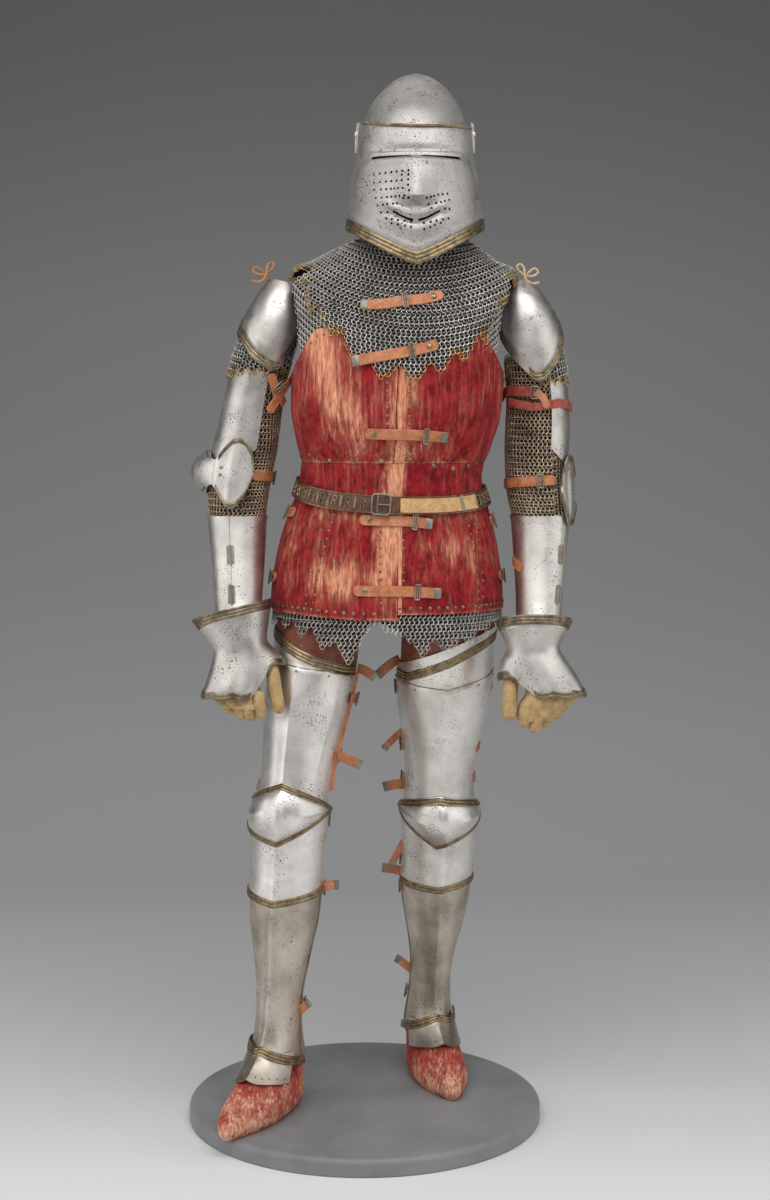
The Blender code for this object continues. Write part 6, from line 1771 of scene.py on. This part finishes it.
        along = unit(points[-1] - points[-2])
        normal = np.array([0.0, -1.0, 0.0])
        leg_metal.box(points[-1] + normal * 0.0012, along, np.cross(normal, along), normal,
                      (0.008, half * 2 + 0.001, 0.0034))
    build_shoe(side, form)


SHOE_WEAR = [(0, 0.03, 60, 0.03, 0.1), (180, 0.05, 60, 0.03, 0.18), (-60, 0.012, 40, 0.012, 0.16),
             (60, 0.012, 40, 0.012, 0.16), (0, 0.004, 12, 0.014, 0.4)]


def build_shoe(side, form):
    low_form = foot[side]
    degrees = np.linspace(0, 360, 133)[:-1][None, :]
    v = np.concatenate([[0.0, 0.012, 0.03], np.linspace(0.055, 1.0, 36)])[:, None]
    height = 0.0003 + (0.104 - 0.0003) * v
    degrees = np.broadcast_to(degrees, (len(v), degrees.shape[1]))
    height = np.broadcast_to(height, degrees.shape)
    ahead = np.maximum(np.cos(np.radians(degrees)), 0) ** 2
    crease = 0.001 * np.sin(height * 420 + 2.2 * np.sin(np.radians(degrees) * 3)) * ahead * blend(height,
                                                                                                  0.02, 0.05)
    soft = 0.0008 * np.sin(np.radians(degrees) * 7 + height * 90) * blend(height, 0.01, 0.03)
    bend = crease * (1 - blend(height, 0.07, 0.085)) + soft * (1 - blend(height, 0.06, 0.082))

    def at(depth):
        lower = low_form.point(degrees, np.minimum(height, 0.078), bend - depth)
        upper = form.point(degrees, height, -0.0008 - depth + 0 * bend)
        share = blend(height, 0.048, 0.082)[..., None]
        return lower * (1 - share) + upper * share

    outer, inner = at(0.0), at(0.0026)
    verts, quads = wall(outer, inner, True, form.mirror < 0)
    # Soles: the two rings at the bottom are closed by a fan each.
    columns = degrees.shape[1]
    count = outer.reshape(-1, 3).shape[0]
    faces = quads.tolist()
    ring = list(range(columns))
    for start, turned in ((0, False), (count, True)):
        centre_index = len(verts)
        middle = verts[start:start + columns].mean(axis=0)
        if start:
            middle = middle + np.array([0, 0, 0.0026])
            verts[start:start + columns, 2] += 0.0026
        verts = np.concatenate([verts, [middle]])
        for i in ring:
            k = (i + 1) % columns
            face = [start + k, start + i, centre_index]
            faces.append(face[::-1] if turned != (form.mirror < 0) else face)
    # The ring between the two rings of the rim at the bottom goes.
    bottom = {(i, (i + 1) % columns) for i in ring}
    kept = [f for f in faces if not (len(f) == 4 and sum(x < columns for x in f) == 2
                                     and sum(count <= x < count + columns for x in f) == 2)]
    obj = make(f"shoe_{side}", verts, kept, SHOE_VELVET, slot="velvet", replaces=(f"shoe_{side}",), sharp=60)
    wear = wear_of(SHOE_WEAR, degrees, height)
    set_wear(obj, np.concatenate([wear.ravel(), wear.ravel(), [0.3, 0.3]]))


for side in SIDES:
    build_leg(side)
# The edge of the leather shows past the right thigh's plate.
run = np.linspace(0, 1, 30)
edge_height = 0.735 - 0.2 * run
edge_line = leg["right"].point(np.full(30, -91.0), edge_height, 0.0012)
edge_line[:, 0] += 0.0035
leg_straps.ribbon(edge_line, np.tile([0.0, -1.0, 0.0], (30, 1)), 0.004, 0.0022, (False, False))
finish_batch("leg_borders", leg_brass, BRASS, slot="brass")
finish_batch("leg_lame_lines", lame_lines, BRASS, slot="brass")
finish_batch("leg_rivets", leg_rivets, BUCKLE_STEEL, slot="steel")
finish_batch("leg_straps", leg_straps, STRAP, slot="strap_leather")
finish_batch("leg_buckles", leg_metal, BUCKLE_STEEL, slot="steel")
finish_batch("strap_buckles", metals, BUCKLE_STEEL, slot="steel")
finish_batch("strap_studs", brasses, BRASS, slot="brass")


# Base, floor, light and camera
def base_material():
    material, tree, shader = new_material("stand_paint")
    where = position(tree)
    colour = ramp(tree, noise(tree, where, 9, 5, 0.6),
                  [(0.35, (0.2, 0.205, 0.21)), (0.65, (0.26, 0.265, 0.27))])
    tree.links.new(colour, shader.inputs["Base Color"])
    shader.inputs["Roughness"].default_value = 0.45
    bump(tree, shader, noise(tree, where, 160, 3, 0.5), 0.12, 0.0006)
    return material


profile = [(0.0, 0.03), (0.289, 0.03), (0.2925, 0.0296), (0.296, 0.028), (0.2985, 0.0255), (0.2998, 0.022),
           (0.3, 0.019), (0.3, 0.002), (0.298, 0.0), (0.0, 0.0)]
turn = np.linspace(0, 2 * np.pi, 181)[:-1]
rings = np.array([[(r * np.cos(t), r * np.sin(t), z) for t in turn] for r, z in profile[1:-1]])
verts = np.concatenate([rings.reshape(-1, 3), [[0, 0, 0.03], [0, 0, 0.0]]])
faces = []
n, m = len(profile) - 2, len(turn)
for a in range(n - 1):
    for i in range(m):
        k = (i + 1) % m
        faces.append([a * m + k, a * m + i, (a + 1) * m + i, (a + 1) * m + k])
for i in range(m):
    k = (i + 1) % m
    faces.append([i, k, n * m])
    faces.append([(n - 1) * m + k, (n - 1) * m + i, n * m + 1])
make("base", verts, faces, base_material(), slot="stand", replaces=("base",), sharp=30)


def shaded_sweep_material():
    """Plain matt paint with painted shade: pale on the floor near the figure and darker further back and up
    the sweep, standing in for the light falling off.
    """
    material, tree, shader = new_material("floor_paint_shaded")
    where = add_node(tree, "ShaderNodeTexCoord").outputs["Object"]
    parts = add_node(tree, "ShaderNodeSeparateXYZ", {0: where})
    reach = add_node(tree, "ShaderNodeMath", {0: parts.outputs["Y"], 1: parts.outputs["Z"]},
                     operation="ADD").outputs[0]
    along = add_node(tree, "ShaderNodeMath", {0: reach, 1: 0.05, 2: 0.5}, operation="MULTIPLY_ADD").outputs[0]
    # Painted shade: the colour falls from pale at the front of the floor to dark up the sweep, as the light
    # falls off.
    painted_falloff = ramp(tree, along, [(0.4825, 0.83), (0.5, 0.72), (0.533, 0.66), (0.575, 0.6), (0.64, 0.56),
                              (0.69, 0.47),
                              (0.766, 0.4), (0.82, 0.27), (0.9, 0.22)])
    tree.links.new(painted_falloff, shader.inputs["Base Color"])
    shader.inputs["Roughness"].default_value = 0.8
    return material


# The sweep: one plain sheet that runs back as the floor and bends up behind the figure.
FLOOR_BACK = 1.6
SWEEP_RADIUS = 2.4
SWEEP_STEPS = 40
sweep_run = [(-6.0, 0.0), (FLOOR_BACK, 0.0)]
for step in range(1, SWEEP_STEPS + 1):
    bend = math.radians(90 * step / SWEEP_STEPS)
    sweep_run.append((FLOOR_BACK + SWEEP_RADIUS * math.sin(bend), SWEEP_RADIUS * (1 - math.cos(bend))))
sweep_run.append((4.0, 9.0))
sweep_points = [(x, y, z) for y, z in sweep_run for x in (-9.0, 9.0)]
sweep_faces = [(2 * k, 2 * k + 1, 2 * k + 3, 2 * k + 2) for k in range(len(sweep_run) - 1)]
sweep_mesh = bpy.data.meshes.new("floor_sweep")
sweep_mesh.from_pydata(sweep_points, [], sweep_faces)
sweep_mesh.materials.append(shaded_sweep_material())
sweep = bpy.data.objects.new("floor_sweep", sweep_mesh)
bpy.context.scene.collection.objects.link(sweep)
for face in sweep_mesh.polygons:
    face.use_smooth = True


def area_light(name, location, target, size, size_y, power, colour=(1, 1, 1)):
    light = bpy.data.lights.new(name, "AREA")
    light.shape = "RECTANGLE"
    light.size = size
    light.size_y = size_y
    light.energy = power
    light.color = colour
    obj = bpy.data.objects.new(name, light)
    obj.location = location
    obj.rotation_euler = (Vector(target) - Vector(location)).to_track_quat("-Z", "Y").to_euler()
    bpy.context.scene.collection.objects.link(obj)
    return obj


area_light("left_soft_box", (-2.7, -1.0, 1.5), (0, -0.1, 0.9), 3.0, 2.8, 35)
area_light("right_soft_box", (2.7, -0.9, 1.5), (0, -0.1, 0.9), 3.0, 2.8, 29)
area_light("front_soft_box", (-0.2, -4.7, 2.3), (0, 0, 0.8), 4.2, 2.6, 27)
area_light("floor_light", (0.0, -1.6, 2.9), (0, -1.45, 0), 3.6, 2.0, 70)
area_light("sweep_light", (0.0, 0.8, 3.0), (0, 2.6, 0), 3.0, 0.8, 12)

world = bpy.data.worlds.new("studio")
world.use_nodes = True
background = world.node_tree.nodes["Background"]
background.inputs["Color"].default_value = (0.62, 0.64, 0.67, 1.0)
background.inputs["Strength"].default_value = 0.05
bpy.context.scene.world = world
bpy.context.scene.view_settings.view_transform = "Standard"

camera = bpy.data.cameras.new("camera")
camera.lens = 62.94
camera.sensor_fit = "VERTICAL"
camera.sensor_height = 36.0
camera_object = bpy.data.objects.new("camera", camera)
camera_object.location = (0.0345, -3.5, 1.255)
camera_object.rotation_euler = (math.radians(84.0), 0.0, 0.0)
bpy.context.scene.collection.objects.link(camera_object)
bpy.context.scene.camera = camera_object
